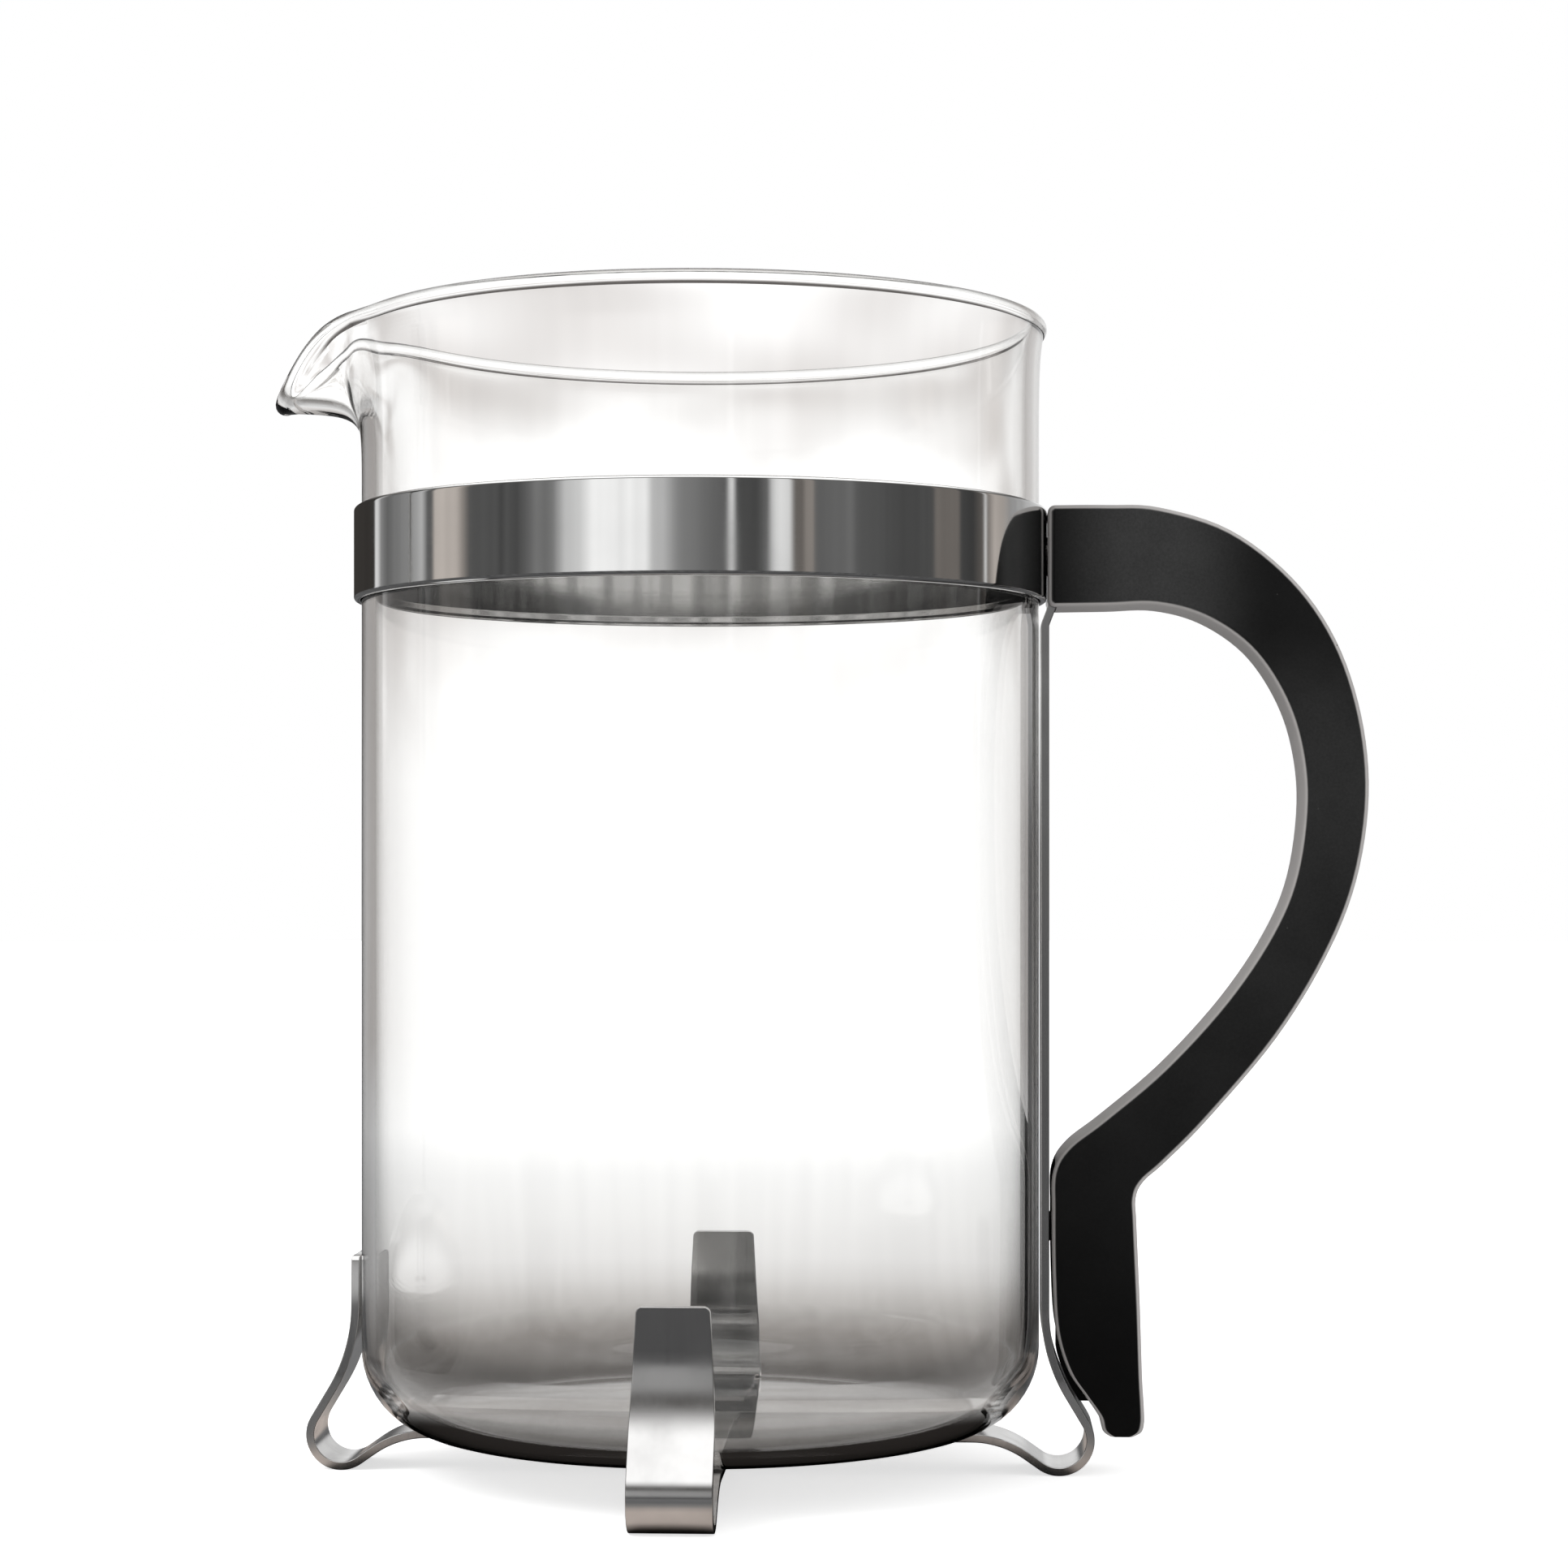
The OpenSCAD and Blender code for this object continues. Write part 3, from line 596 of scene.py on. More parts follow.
def drawn_finish(t, shades):
    grain, normal = brushed(t, (3000, 3000, 30), (500, 500, 25), 0.000001)
    return metal(t, shades.steel, 0.9, grain, grain * 0.12 + 0.08, normal)


def pressed_finish(t, shades):
    smear, grain = t.noise(t.place(), 150.0, 4.0), t.noise(t.place(), 3000.0, 2.0)
    rough = t.clamp(smear, 0.3, 0.8) * 0.14 + 0.16
    return metal(t, shades.strip, 0.8, smear, rough, t.bump(grain, 0.000002, 0.3))


def screen_finish(t, shades):
    spark = t.noise(t.place(), 2500.0, 1.0)
    return metal(t, shades.screen, 0.7, spark, spark * 0.2 + 0.22)


def cut_metal(t, colour, scale, smooth):
    grain = t.noise(t.place(), scale, 3.0)
    return metal(t, colour, 0.75, grain, grain * 0.15 + smooth, t.bump(grain, 0.000004, 0.3))


def screw_finish(t, shades):
    return cut_metal(t, shades.strip, 1400.0, 0.22)


def brass_finish(t, shades):
    return cut_metal(t, shades.brass, 900.0, 0.2)


FINISHES = {
    "clear_glass": glass_finish,
    "polished_steel": steel_finish,
    "brushed_strip": strip_finish,
    "handle_black": plastic_finish,
    "moulded_black": moulded_finish,
    "drawn_rod": drawn_finish,
    "pressed_steel": pressed_finish,
    "wire_screen": screen_finish,
    "screw_steel": screw_finish,
    "turned_brass": brass_finish,
}


def finish(name):
    """The named material, made the first time that it is asked for."""
    made = bpy.data.materials.get("press_" + name)
    if made is None:
        made = bpy.data.materials.new("press_" + name)
        t = shader_tree(made)
        surface = t.get("ShaderNodeBsdfPrincipled", FINISHES[name](t, panel("finish")))
        t.node("ShaderNodeOutputMaterial", {"Surface": surface})
    return made


# ---- geometry trees ----


def geometry_tree(name, inputs):
    """A new geometry tree, and the values that its named inputs give."""
    group = bpy.data.node_groups.new(name, "GeometryNodeTree")
    group.interface.new_socket("Geometry", in_out="OUTPUT", socket_type="NodeSocketGeometry")
    for label, kind in inputs.items():
        group.interface.new_socket(label, in_out="INPUT", socket_type="NodeSocket" + kind)
    t = Tree(group)
    start = t.node("NodeGroupInput")
    return t, {label: Value(t, start.outputs[label]) for label in inputs}


def finish_tree(t, geometry, material):
    real = t.get("GeometryNodeRealizeInstances", {0: geometry})
    painted = t.get("GeometryNodeSetMaterial", {"Geometry": real, "Material": material})
    t.node("NodeGroupOutput", {0: painted})
    return t.tree


def grown(made, name, make, values):
    """Runs a geometry tree, made once, on an object with the given inputs and keeps its mesh."""
    group = bpy.data.node_groups.get(name) or make(name)
    modifier = made.modifiers.new("Grow", "NODES")
    modifier.node_group = group
    for item in group.interface.items_tree:
        if item.item_type == "SOCKET" and item.in_out == "INPUT" and item.name in values:
            modifier[item.identifier] = values[item.name]
    return settle(made)


def coil_tree(name):
    """Wire wound round a ring."""
    t, given = geometry_tree(name, {
        "Ring Radius": "Float", "Coil Radius": "Float", "Wire Radius": "Float", "Turns": "Int",
        "Steps": "Int", "Sides": "Int", "Centre": "Vector", "Material": "Material",
    })
    coil, points = given["Coil Radius"], given["Turns"] * given["Steps"]
    ring = t.get("GeometryNodeCurvePrimitiveCircle", {"Resolution": points, "Radius": 1.0})
    step = t.get("GeometryNodeInputIndex")
    around = step / points * (2 * pi)
    wind = step / given["Steps"] * (2 * pi)
    out = given["Ring Radius"] + coil * t.math("COSINE", wind)
    place = t.vector(
        out * t.math("COSINE", around), out * t.math("SINE", around), coil * t.math("SINE", wind)
    )
    place = t.get("ShaderNodeVectorMath", {0: place, 1: given["Centre"]}, {"operation": "ADD"})
    wound = t.get("GeometryNodeSetPosition", {"Geometry": ring, "Position": place})
    size = {"Resolution": given["Sides"], "Radius": given["Wire Radius"]}
    section = t.get("GeometryNodeCurvePrimitiveCircle", size)
    wire = t.get("GeometryNodeCurveToMesh", {"Curve": wound, "Profile Curve": section})
    return finish_tree(t, wire, given["Material"])


def screen_tree(name):
    """Two layers of crossing wires, cut to a disc with a hole."""
    t, given = geometry_tree(name, {
        "Disc Radius": "Float", "Hole Radius": "Float", "Pitch": "Float",
        "Wire Radius": "Float", "Centre": "Vector", "Material": "Material",
    })
    disc, hole, pitch, wire = (
        given[k] for k in ("Disc Radius", "Hole Radius", "Pitch", "Wire Radius")
    )
    half = t.math("FLOOR", disc / pitch - 0.3)
    line = t.get("GeometryNodeMeshLine", {
        "Count": half * 2 + 1,
        "Start Location": t.vector(half * pitch * -1, 0.0, 0.0),
        "Offset": t.vector(pitch, 0.0, 0.0),
    })
    x = t.parts(t.get("GeometryNodeInputPosition"))[0]
    rim = t.math("SQRT", disc * disc - x * x)
    gap = t.math("SQRT", t.math("MAXIMUM", hole * hole - x * x, 0.0))
    middle = t.vector(0.0, (rim + gap) / 2, wire)
    spread = t.get("GeometryNodeSetPosition", {"Geometry": line, "Offset": middle})
    number_kept = {"data_type": "FLOAT"}
    chord = {"Geometry": spread, "Name": "chord", "Value": rim - gap}
    chord = t.get("GeometryNodeStoreNamedAttribute", chord, number_kept)
    long = t.get("GeometryNodeInputNamedAttribute", {"Name": "chord"}, number_kept)
    bar = t.get("GeometryNodeMeshCylinder", {"Vertices": 5, "Radius": wire, "Depth": 1.0})
    lying = {"Geometry": bar, "Rotation": (pi / 2, 0, 0)}
    wires = t.get("GeometryNodeInstanceOnPoints", {
        "Points": chord,
        "Instance": t.get("GeometryNodeTransform", lying),
        "Scale": t.vector(1.0, long, 1.0),
    })
    layers = t.node("GeometryNodeJoinGeometry")
    for quarter in range(4):
        layer = t.get("GeometryNodeTransform", {
            "Geometry": wires,
            "Rotation": (0, 0, quarter * pi / 2),
            "Translation": t.vector(0.0, 0.0, wire * (-2.0 if quarter % 2 else 0.0)),
        })
        t.tree.links.new(layer.socket, layers.inputs[0])
    placed = {"Geometry": Value(t, layers.outputs[0]), "Translation": given["Centre"]}
    return finish_tree(t, t.get("GeometryNodeTransform", placed), given["Material"])


def strip_tree(name):
    """A sheet along a drawn path, as wide as the path's own width says."""
    t, given = geometry_tree(name, {"Path": "Geometry", "Turn": "Float", "Material": "Material"})
    line = {"Geometry": given["Path"], "Offset": (0.0, -0.5, 0.0)}
    side = t.get("GeometryNodeSetPosition", line)
    pull = {"Mesh": side, "Offset": t.vector(0.0, 1.0, 0.0), "Offset Scale": 1.0}
    sheet = t.get("GeometryNodeExtrudeMesh", pull, {"mode": "EDGES"})
    x, y, z = t.parts(t.get("GeometryNodeInputPosition"))
    width = t.get("GeometryNodeInputNamedAttribute", {"Name": "width"}, {"data_type": "FLOAT"})
    wide = {"Geometry": sheet, "Position": t.vector(x, y * width, z)}
    wide = t.get("GeometryNodeSetPosition", wide)
    swung = {"Geometry": wide, "Rotation": t.vector(0.0, 0.0, given["Turn"])}
    return finish_tree(t, t.get("GeometryNodeTransform", swung), given["Material"])


# ---- sizes that follow from others ----


# Gap between pieces that seat on each other
SEAT_GAP = 0.00005


class Fits:
    """Sizes and places that follow from the ones in the panel."""

    def __init__(self):
        b, f, p, lid = (panel(box) for box in ("beaker", "frame", "plunger", "lid"))
        self.bore = b.radius - b.wall
        self.clip_r = b.radius + f.glass_gap + f.strip_t / 2
        self.rest_z = b.base_z - f.strip_t / 2
        self.loop_line = f.foot_r - f.strip_t / 2
        self.loop_at = Vector((b.radius + f.foot_out - f.foot_r, f.foot_r))
        self.band_mid = f.band_z + f.band_h / 2
        self.band_in = b.radius + f.glass_gap + f.crown
        self.band_out = self.band_in + f.band_t
        self.strap_in = self.band_out + SEAT_GAP
        self.strap_top = f.band_z + f.band_h - 0.0015
        self.arm_x = self.band_out + 0.0007
        self.filter_r = self.bore - p.filter_gap
        self.coil_at = self.filter_r - p.coil_r
        self.plate_r = self.coil_at - p.coil_r - SEAT_GAP
        self.mesh_z = p.cross_rim + SEAT_GAP
        self.spiral_z = self.mesh_z + p.mesh_t + SEAT_GAP
        self.hub_top = self.spiral_z + p.plate_t + 0.00195
        self.collar_r = p.hub_r + 0.0025
        self.collar_z = self.spiral_z + p.plate_t + SEAT_GAP
        self.collar_top = self.hub_top + 0.001
        self.rod_z = p.plate_t + 0.001
        self.bush_drop = lid.ring_depth - 0.001
        self.lid_z = self.collar_top + 0.0001 + self.bush_drop
        self.dome_top = lid.dome_h + 0.0001
        self.knob_z = self.lid_z + self.dome_top + lid.flange_t + p.travel + 0.0002
        self.at_plunger = (-p.gap, 0)


# ---- pieces ----


def lip_section(angle):
    """The rim's outside and inside, as (radius, height) points at an angle from the spout."""
    b = panel("beaker")
    middle, half = b.radius - b.wall / 2, b.wall / 2
    reach = exp(-((abs(angle) / b.spout_spread) ** 1.84))
    drop = exp(-((abs(angle) / (0.68 * b.spout_spread)) ** 2.2))
    lip = Vector((middle + b.flare + b.spout_reach * reach, b.lip_z - b.spout_drop * drop))
    wall_pull = Vector((middle, mix(b.lip_z - 0.01, b.lip_z - b.spout_drop - 0.0004, reach)))
    plain_pull = Vector((middle - 0.0001, b.lip_z - 0.0035))
    lip_pull = plain_pull.lerp(Vector((middle + 0.002, lip.y - 0.0004)), reach)
    bend, steps = [Vector((middle, b.flare_z)), wall_pull, lip_pull, lip], 22
    centre = [cubic(bend, 0.94 * i / steps) for i in range(steps + 1)]
    along = (lip - lip_pull).normalized()
    across = Vector((along.y, -along.x))
    turns = [radians(mix(-28, 208, i / 12)) for i in range(13)]
    bead = [lip + b.bead * (cos(a) * across + sin(a) * along) for a in turns]
    return beside(centre, -half) + bead + beside(centre, half)[::-1]


def make_beaker():
    b, fits = panel("beaker"), Fits()
    corner_at, inner_corner = b.radius - b.corner, b.corner - b.wall
    # The underside stands a hair above the strips, so that no two faces coincide
    hair = 0.00004
    flat = (0, 0.012, 0.025, corner_at - 0.002)
    upright = (0.03, 0.06, 0.09, 0.12, b.flare_z - 0.002)
    outside = [Vector((r, b.base_z + hair)) for r in flat]
    outside += arc((corner_at, b.base_z + b.corner + hair), b.corner, -90, 0, 14)
    outside += [Vector((b.radius, z)) for z in upright]
    floor_z = b.base_z + b.floor
    inside = [Vector((fits.bore, z)) for z in upright[::-1]]
    inside += arc((corner_at, floor_z + inner_corner), inner_corner, 0, -90, 14)
    inside += [Vector((r, floor_z)) for r in flat[::-1]]
    # The sections stand closer together at the spout
    columns, steps, crowding = [], 288, 0.55
    for i in range(steps):
        even = 2 * pi * i / steps - pi
        angle = even - crowding * sin(even)
        c, n = cos(pi + angle), sin(pi + angle)
        profile = outside + lip_section(angle) + inside
        columns.append([(p.x * c, p.x * n, p.y) for p in profile])
    rings = [list(ring) for ring in zip(*columns)]
    rings[0], rings[-1] = rings[0][:1], rings[-1][:1]
    made = skin("beaker_glass", rings)
    made.data.shade_smooth()
    fitted(made, "beaker", "clear_glass", "beaker")


def make_band():
    f, fits = panel("frame"), Fits()
    half, lip, outer = f.band_h / 2, fits.band_in - f.crown, fits.band_out
    # A flat stretch ends just short of each rounding and keeps the shading of the face even
    flat = half - f.band_edge - 0.0002
    corners = [(outer, flat, 0), (outer, half, f.band_edge), (lip, half, 0.0001),
               (lip, half - 0.0007, 0.0003), (fits.band_in, half - 0.0015, 0.0005)]
    corners += [(r, -z, rounding) for r, z, rounding in corners[::-1]]
    made = turned("band_ring", [(r, fits.band_mid + z, e) for r, z, e in corners], segments=256)
    fitted(made, "frame", "polished_steel", "band")


def foot_path(top):
    """Middle line of a foot, from under the glass, round the loop and up to a height."""
    f, fits = panel("frame"), Fits()
    slope_in, slope_out = -125, 31
    loop = arc(fits.loop_at, fits.loop_line, slope_in, slope_out, 40)
    a, b = radians(slope_in), radians(slope_out)
    down, up = Vector((sin(a), -cos(a))), Vector((-sin(b), cos(b)))
    heel = loop[0] + down * (fits.rest_z - loop[0].y) / down.y
    knee = loop[-1] + up * (fits.clip_r - loop[-1].x) / up.x
    return (
        corner_arc(Vector((0, fits.rest_z)), heel, loop[0], f.heel_r, 18)
        + loop
        + corner_arc(loop[-1], knee, Vector((fits.clip_r, top)), f.knee_r, 24)
    )


def strip_width(z, top, corner):
    """Width of a strip at a height: tapered above the foot and rounded at its end."""
    f, taper_from = panel("frame"), 0.014
    taper_top = min(f.clip_z, top) - corner
    taper = min(max((z - taper_from) / (taper_top - taper_from), 0), 1)
    over = max(z - (top - corner), 0)
    return mix(f.strip_w, f.clip_w, taper) - 2 * (corner - sqrt(max(corner**2 - over**2, 0)))


def drawn_strip(name, path, tops, corner, turned_by):
    """A strip along a path in the XZ plane, with its free ends at the given heights."""
    f, shortest = panel("frame"), 0.00012
    clean = [path[0]]
    for p in path[1:]:
        if (p - clean[-1]).length > shortest:
            clean.append(p)
    bm = bmesh.new()
    wide = bm.verts.layers.float.new("width")
    line = [bm.verts.new((p.x, 0, p.y)) for p in clean]
    for p, v in zip(clean, line):
        v[wide] = strip_width(p.y, tops[1] if p.x > 0 else tops[0], corner)
    for a, b in zip(line, line[1:]):
        bm.edges.new((a, b))
    made = mesh_object(name, bm)
    values = {"Turn": turned_by, "Material": finish("brushed_strip")}
    grown(made, "Strip along a path", strip_tree, values)
    made.data.shade_smooth()
    wall = made.modifiers.new("Sheet", "SOLIDIFY")
    wall.thickness, wall.offset, wall.use_even_offset = f.strip_t, 0, True
    return settle(bevel(made, 0.00032, 3, 50))


def free_end(top, corner, at):
    """Closely spaced points up to a rounded free end."""
    return [Vector((at, top - corner * (1 - sin(radians(a))))) for a in range(0, 91, 15)]


def mirrored(path):
    return [Vector((-p.x, p.y)) for p in path[::-1]]


def make_strips():
    f, fits = panel("frame"), Fits()
    corner, strap_corner, start_z, bend = 0.001, 0.0005, 0.05, 0.0015
    # The strap steps out over the band's lower edge
    strap_r = fits.strap_in + f.strip_t / 2
    low, high = f.band_z - 0.0036, f.band_z - 0.001

    def clip(top):
        return foot_path(top - corner) + free_end(top, corner, fits.clip_r)[1:]

    jog = [(fits.clip_r, start_z, 0), (fits.clip_r, low, bend), (strap_r, high, bend),
           (strap_r, fits.strap_top - strap_corner, 0)]
    tall = foot_path(start_z) + rounded(jog, closed=False, steps=6)[1:]
    tall += free_end(fits.strap_top, strap_corner, strap_r)[1:]
    ends = (f.clip_z, fits.strap_top)
    strap = drawn_strip("strap_strip_sheet", mirrored(clip(f.clip_z)) + tall, ends, corner, 0.0)
    # The cross strip dips under the strap strip
    dip_x, dip_z, ease = f.strip_w / 2 + 0.0025, fits.rest_z - f.strip_t, 0.003
    dip = [(0, dip_z, 0), (dip_x, dip_z, ease), (dip_x + 0.004, fits.rest_z, ease),
           (0.03, fits.rest_z, 0)]
    half = rounded(dip, closed=False, steps=6) + clip(f.cross_clip_z)
    ends = (f.cross_clip_z, f.cross_clip_z)
    cross = drawn_strip("cross_strip_sheet", mirrored(half) + half[1:], ends, corner, pi / 2)
    fitted(strap, "frame", None, "strap_strip")
    fitted(cross, "frame", None, "cross_strip")
    fitted_copies("frame", ("base_rivet_head", "base_rivet", 0.0002, "screw_steel", "screw_steel"))


# Outer x and z, then inner x and z, down the handle from the band to its foot,
# drawn for a reach of 45.8 mm and a height of 135.6 mm
HANDLE_DRAWN = (0.0458, 0.1356)
HANDLE_ROWS = [
    (-0.7, 135.8, -0.7, 121), (8, 135.8, 8, 121.1), (15.5, 135.4, 15.2, 121.2),
    (25.7, 132.1, 22.1, 119.3), (34.7, 125.1, 28.5, 114.9), (41, 116.1, 33, 108.5),
    (44.7, 105.1, 35.6, 101.3), (45.8, 93.4, 36.5, 92.6), (44, 81.1, 35.1, 81.9),
    (39.6, 69.9, 31.6, 73.3), (32.4, 58.1, 25.1, 63.6), (22.5, 46.3, 16.2, 53.8),
    (16.3, 40, 7.4, 46.3), (13.2, 37.2, 2.3, 42.3), (12.1, 34.8, 0.1, 38.6),
    (12.2, 31, -0.1, 33), (12.7, 19, 0, 23.5), (13, 9, 0.5, 15.6),
    (13.2, 5.5, 2.2, 9.8), (13.3, 3.6, 4.6, 6.1), (13.3, 2, 6.7, 3),
    (12.9, 0.7, 7.3, 0.9), (11.6, 0, 8.5, 0),
]


def smooth_rows(rows, steps):
    """Rows along a smooth curve through the given rows."""
    last = len(rows) - 1
    made = []
    for k in range(last):
        a, b, c, d = (rows[min(max(k + i, 0), last)] for i in (-1, 0, 1, 2))
        for i in range(steps):
            t = i / steps
            made.append([
                q + 0.5 * t * ((r - p) + t * ((2 * p - 5 * q + 4 * r - s) + t * (3 * (q - r) + s - p)))
                for p, q, r, s in zip(a, b, c, d)
            ])
    return made + [list(rows[-1])]


def handle_ring(row, inset=0):
    """Rounded section of the handle between its outer and inner outline."""
    h = panel("handle")
    outer, inner = Vector((row[0], 0, row[1])), Vector((row[2], 0, row[3]))
    way = (inner - outer).normalized()
    half_w = (inner - outer).length / 2 - inset
    half_t = h.thick / 2 - inset
    edge = min(h.edge, half_w * 0.9)
    ring = []
    for corner, (u_side, v_side) in enumerate(((1, 1), (-1, 1), (-1, -1), (1, -1))):
        for i in range(8):
            a = radians(90 * corner + 90 * i / 7)
            u = u_side * (half_w - edge) + edge * cos(a)
            v = v_side * (half_t - edge) + edge * sin(a)
            ring.append((outer + inner) / 2 + u * way + Vector((0, v, 0)))
    return ring


def make_handle():
    f, h, fits = panel("frame"), panel("handle"), Fits()
    wide = h.reach / HANDLE_DRAWN[0] * 0.001
    high = (f.band_z + f.band_h - h.foot_z) / HANDLE_DRAWN[1] * 0.001
    rows = [
        [fits.arm_x + a * wide, h.foot_z + b * high, fits.arm_x + c * wide, h.foot_z + d * high]
        for a, b, c, d in smooth_rows(HANDLE_ROWS, 6)
    ]
    # The end at the band is rounded over, the lower end only eased
    near, outer_z, _, inner_z = rows[0]
    over, eased, rings = 0.001, 0.0006, []
    for i in range(4, -1, -1):
        a = radians(90 * i / 4)
        x = near + over * (1 - sin(a))
        rings.append(handle_ring([x, outer_z, x, inner_z], over * (1 - cos(a))))
    rings += [handle_ring(row) for row in rows[1:-1]] + [handle_ring(rows[-1], eased)]
    made = skin("handle_grip", rings, caps=True)
    made.data.shade_smooth()
    # The rib fills the space between the handle and the strip's foot
    top, far = f.clip_z + 0.004, fits.arm_x + 0.006
    strip = [Vector((fits.clip_r, top))] + foot_path(f.clip_z)[::-1]
    face = beside(strip, f.strip_t / 2 + 0.00025)
    section = [p for p in face if p.y > h.rib_z]
    above, below = section[-1], face[len(section)]
    section.append(above.lerp(below, (above.y - h.rib_z) / (above.y - below.y)))
    section += [Vector((far, h.rib_z)), Vector((far, top))]
    half = f.clip_w / 2 - 0.001
    rib = skin("rib", [[(p.x, side, p.y) for p in section] for side in (-half, half)], caps=True)
    combine(made, rib, "UNION")
    # A channel in the inner face takes the strap
    side, back = f.clip_w / 2 + 0.0002, fits.strap_in + f.strip_t + 0.0001
    low, top = (fits.arm_x - 0.001, -side, h.foot_z), (back, side, fits.strap_top + 0.0003)
    combine(made, box_mesh("channel", low, top), "DIFFERENCE")
    made.data.shade_smooth()
    made.data.set_sharp_from_angle(angle=radians(38))
    fitted(made, "frame", "handle_black", "handle")
    fitted_copies(
        "frame",
        ("handle_screw_pair", "handle_screws", 0.00012, "screw_steel", "screw_steel"),
        ("handle_insert_pair", "handle_inserts", 0.0001, "insert_brass", "turned_brass"),
    )


def make_filter():
    p, fits = panel("plunger"), Fits()
    fitted_copies(
        "filter",
        ("cross_plate_pressing", "cross_plate", 0.00012, "filter_steel", "pressed_steel"),
        ("spiral_plate_pressing", "spiral_plate", 0.0001, "filter_steel", "pressed_steel"),
        ("hub_nut_turning", "hub_nut", 0.00015, "filter_steel", "screw_steel"),
    )
    spring = grown(mesh_object("edge_spring_coil", bmesh.new()), "Ring spring", coil_tree, {
        "Ring Radius": fits.coil_at, "Coil Radius": p.coil_r - p.wire_r, "Wire Radius": p.wire_r,
        "Turns": p.turns, "Steps": 10, "Sides": 6, "Material": finish("drawn_rod"),
        "Centre": (-p.gap, 0.0, fits.spiral_z + p.plate_t / 2),
    })
    fitted(spring, "filter", None, "edge_spring")
    spring.data.shade_smooth()
    screen = grown(mesh_object("mesh_screen_wires", bmesh.new()), "Wire screen", screen_tree, {
        "Disc Radius": fits.plate_r, "Hole Radius": p.hub_r + 0.0001, "Pitch": p.mesh_pitch,
        "Wire Radius": p.mesh_t / 4, "Material": finish("wire_screen"),
        "Centre": (-p.gap, 0.0, fits.mesh_z + p.mesh_t / 2),
    })
    fitted(screen, "filter", None, "mesh_screen")


def knob_outline():
    p, fits = panel("plunger"), Fits()
    neck, r, h = 0.0062, p.knob_r, p.knob_h
    bore, deep = p.rod_r + 0.0016, 0.011
    waist = [(neck, 0.0006), (neck - 0.0012, h * 0.25), (r * 0.62, h * 0.36), (r * 0.92, h * 0.46)]
    side = [waist[-1], (r * 1.05, h * 0.53), (r * 1.04, h * 0.7), (r * 0.9, h * 0.8)]
    cap = [side[-1], (r * 0.72, h * 0.94), (r * 0.4, h), (0, h)]
    line = [Vector((bore, 0)), Vector((neck - 0.0006, 0)), Vector(waist[0])]
    for part, steps in ((waist, 14), (side, 14), (cap, 16)):
        drawn = [Vector(q) for q in part]
        line += [cubic(drawn, i / steps) for i in range(1, steps + 1)]
    line += [Vector((0, deep)), Vector((bore, deep))]
    return [Vector((q.x, q.y + fits.knob_z)) for q in line]


def make_rod():
    p, fits = panel("plunger"), Fits()
    low, top = fits.rod_z, fits.knob_z + 0.009
    outline = [(0, low, 0), (p.rod_r, low, 0.0004), (p.rod_r, top, 0.0003), (0, top, 0)]
    rod = turned("plunger_rod_bar", outline, fits.at_plunger, 64)
    fitted(rod, "rod", "drawn_rod", "plunger_rod")
    inside, hub, seat = p.rod_r + p.run_gap, p.hub_r + 0.0001, fits.hub_top + SEAT_GAP
    collar = turned("rod_collar_turning", [
        (inside, fits.collar_top, 0.0003), (fits.collar_r, fits.collar_top, 0.0006),
        (fits.collar_r, fits.collar_z, 0.0002), (hub, fits.collar_z, 0.0001),
        (hub, seat, 0), (inside, seat, 0),
    ], fits.at_plunger, 96)
    fitted(collar, "rod", "polished_steel", "rod_collar")
    knob = lathe("knob_moulding", knob_outline(), fits.at_plunger, 128)
    fitted(knob, "rod", "moulded_black", "knob")
    insert = ("knob_insert_turning", "knob_insert", 0.0001, "insert_brass", "turned_brass")
    fitted_copies("rod", insert)


def make_lid():
    b, lid, p, fits = panel("beaker"), panel("lid"), panel("plunger"), Fits()
    z, crest = fits.lid_z, lid.dome_h - lid.dome_t / 2
    edge = b.radius + lid.over - lid.dome_t / 2
    shoulder = Vector((edge - 0.0016, 0.0025))
    rise = [shoulder, Vector((edge - 0.008, lid.dome_h * 0.62)), Vector((edge * 0.52, crest)),
            Vector((lid.bush_r + 0.0001, crest))]
    skirt = [(edge, 0.0002, 0), (edge, 0.0021, 0.0009), (*shoulder, 0)]
    line = rounded(skirt, closed=False, steps=7) + [cubic(rise, i / 36) for i in range(1, 37)]
    line = [Vector((q.x, q.y + z)) for q in line]
    outline = sheet_outline(line, lid.dome_t, 0.0003)
    dome = lathe("lid_dome_spinning", outline, fits.at_plunger, 192)
    fitted(dome, "lid", "polished_steel", "lid_dome")
    insert = ("lid_insert_moulding", "lid_insert", 0.0002, "lid_plastic", "moulded_black")
    fitted_copies("lid", insert)
    low, top = z - fits.bush_drop, z + fits.dome_top
    inside, flange = p.rod_r + p.run_gap, lid.bush_r + 0.0024
    groove, groove_r = z + 0.00115 - fits.bush_drop, lid.bush_r - 0.0006
    bush = turned("lid_bush_turning", [
        (inside, low, 0.0002), (lid.bush_r, low, 0.0002),
        (lid.bush_r, groove, 0), (groove_r, groove, 0),
        (groove_r, groove + 0.0009, 0), (lid.bush_r, groove + 0.0009, 0),
        (lid.bush_r, top, 0), (flange, top, 0.0002),
        (flange, top + lid.flange_t, 0.0006), (inside, top + lid.flange_t, 0.0003),
    ], fits.at_plunger, 96)
    fitted(bush, "lid_guide", "polished_steel", "lid_bush")
    clip = ("bush_clip_spring", "bush_clip", 0.0001, "screw_steel", "screw_steel")
    fitted_copies("lid_guide", clip)


# ---- stage ----

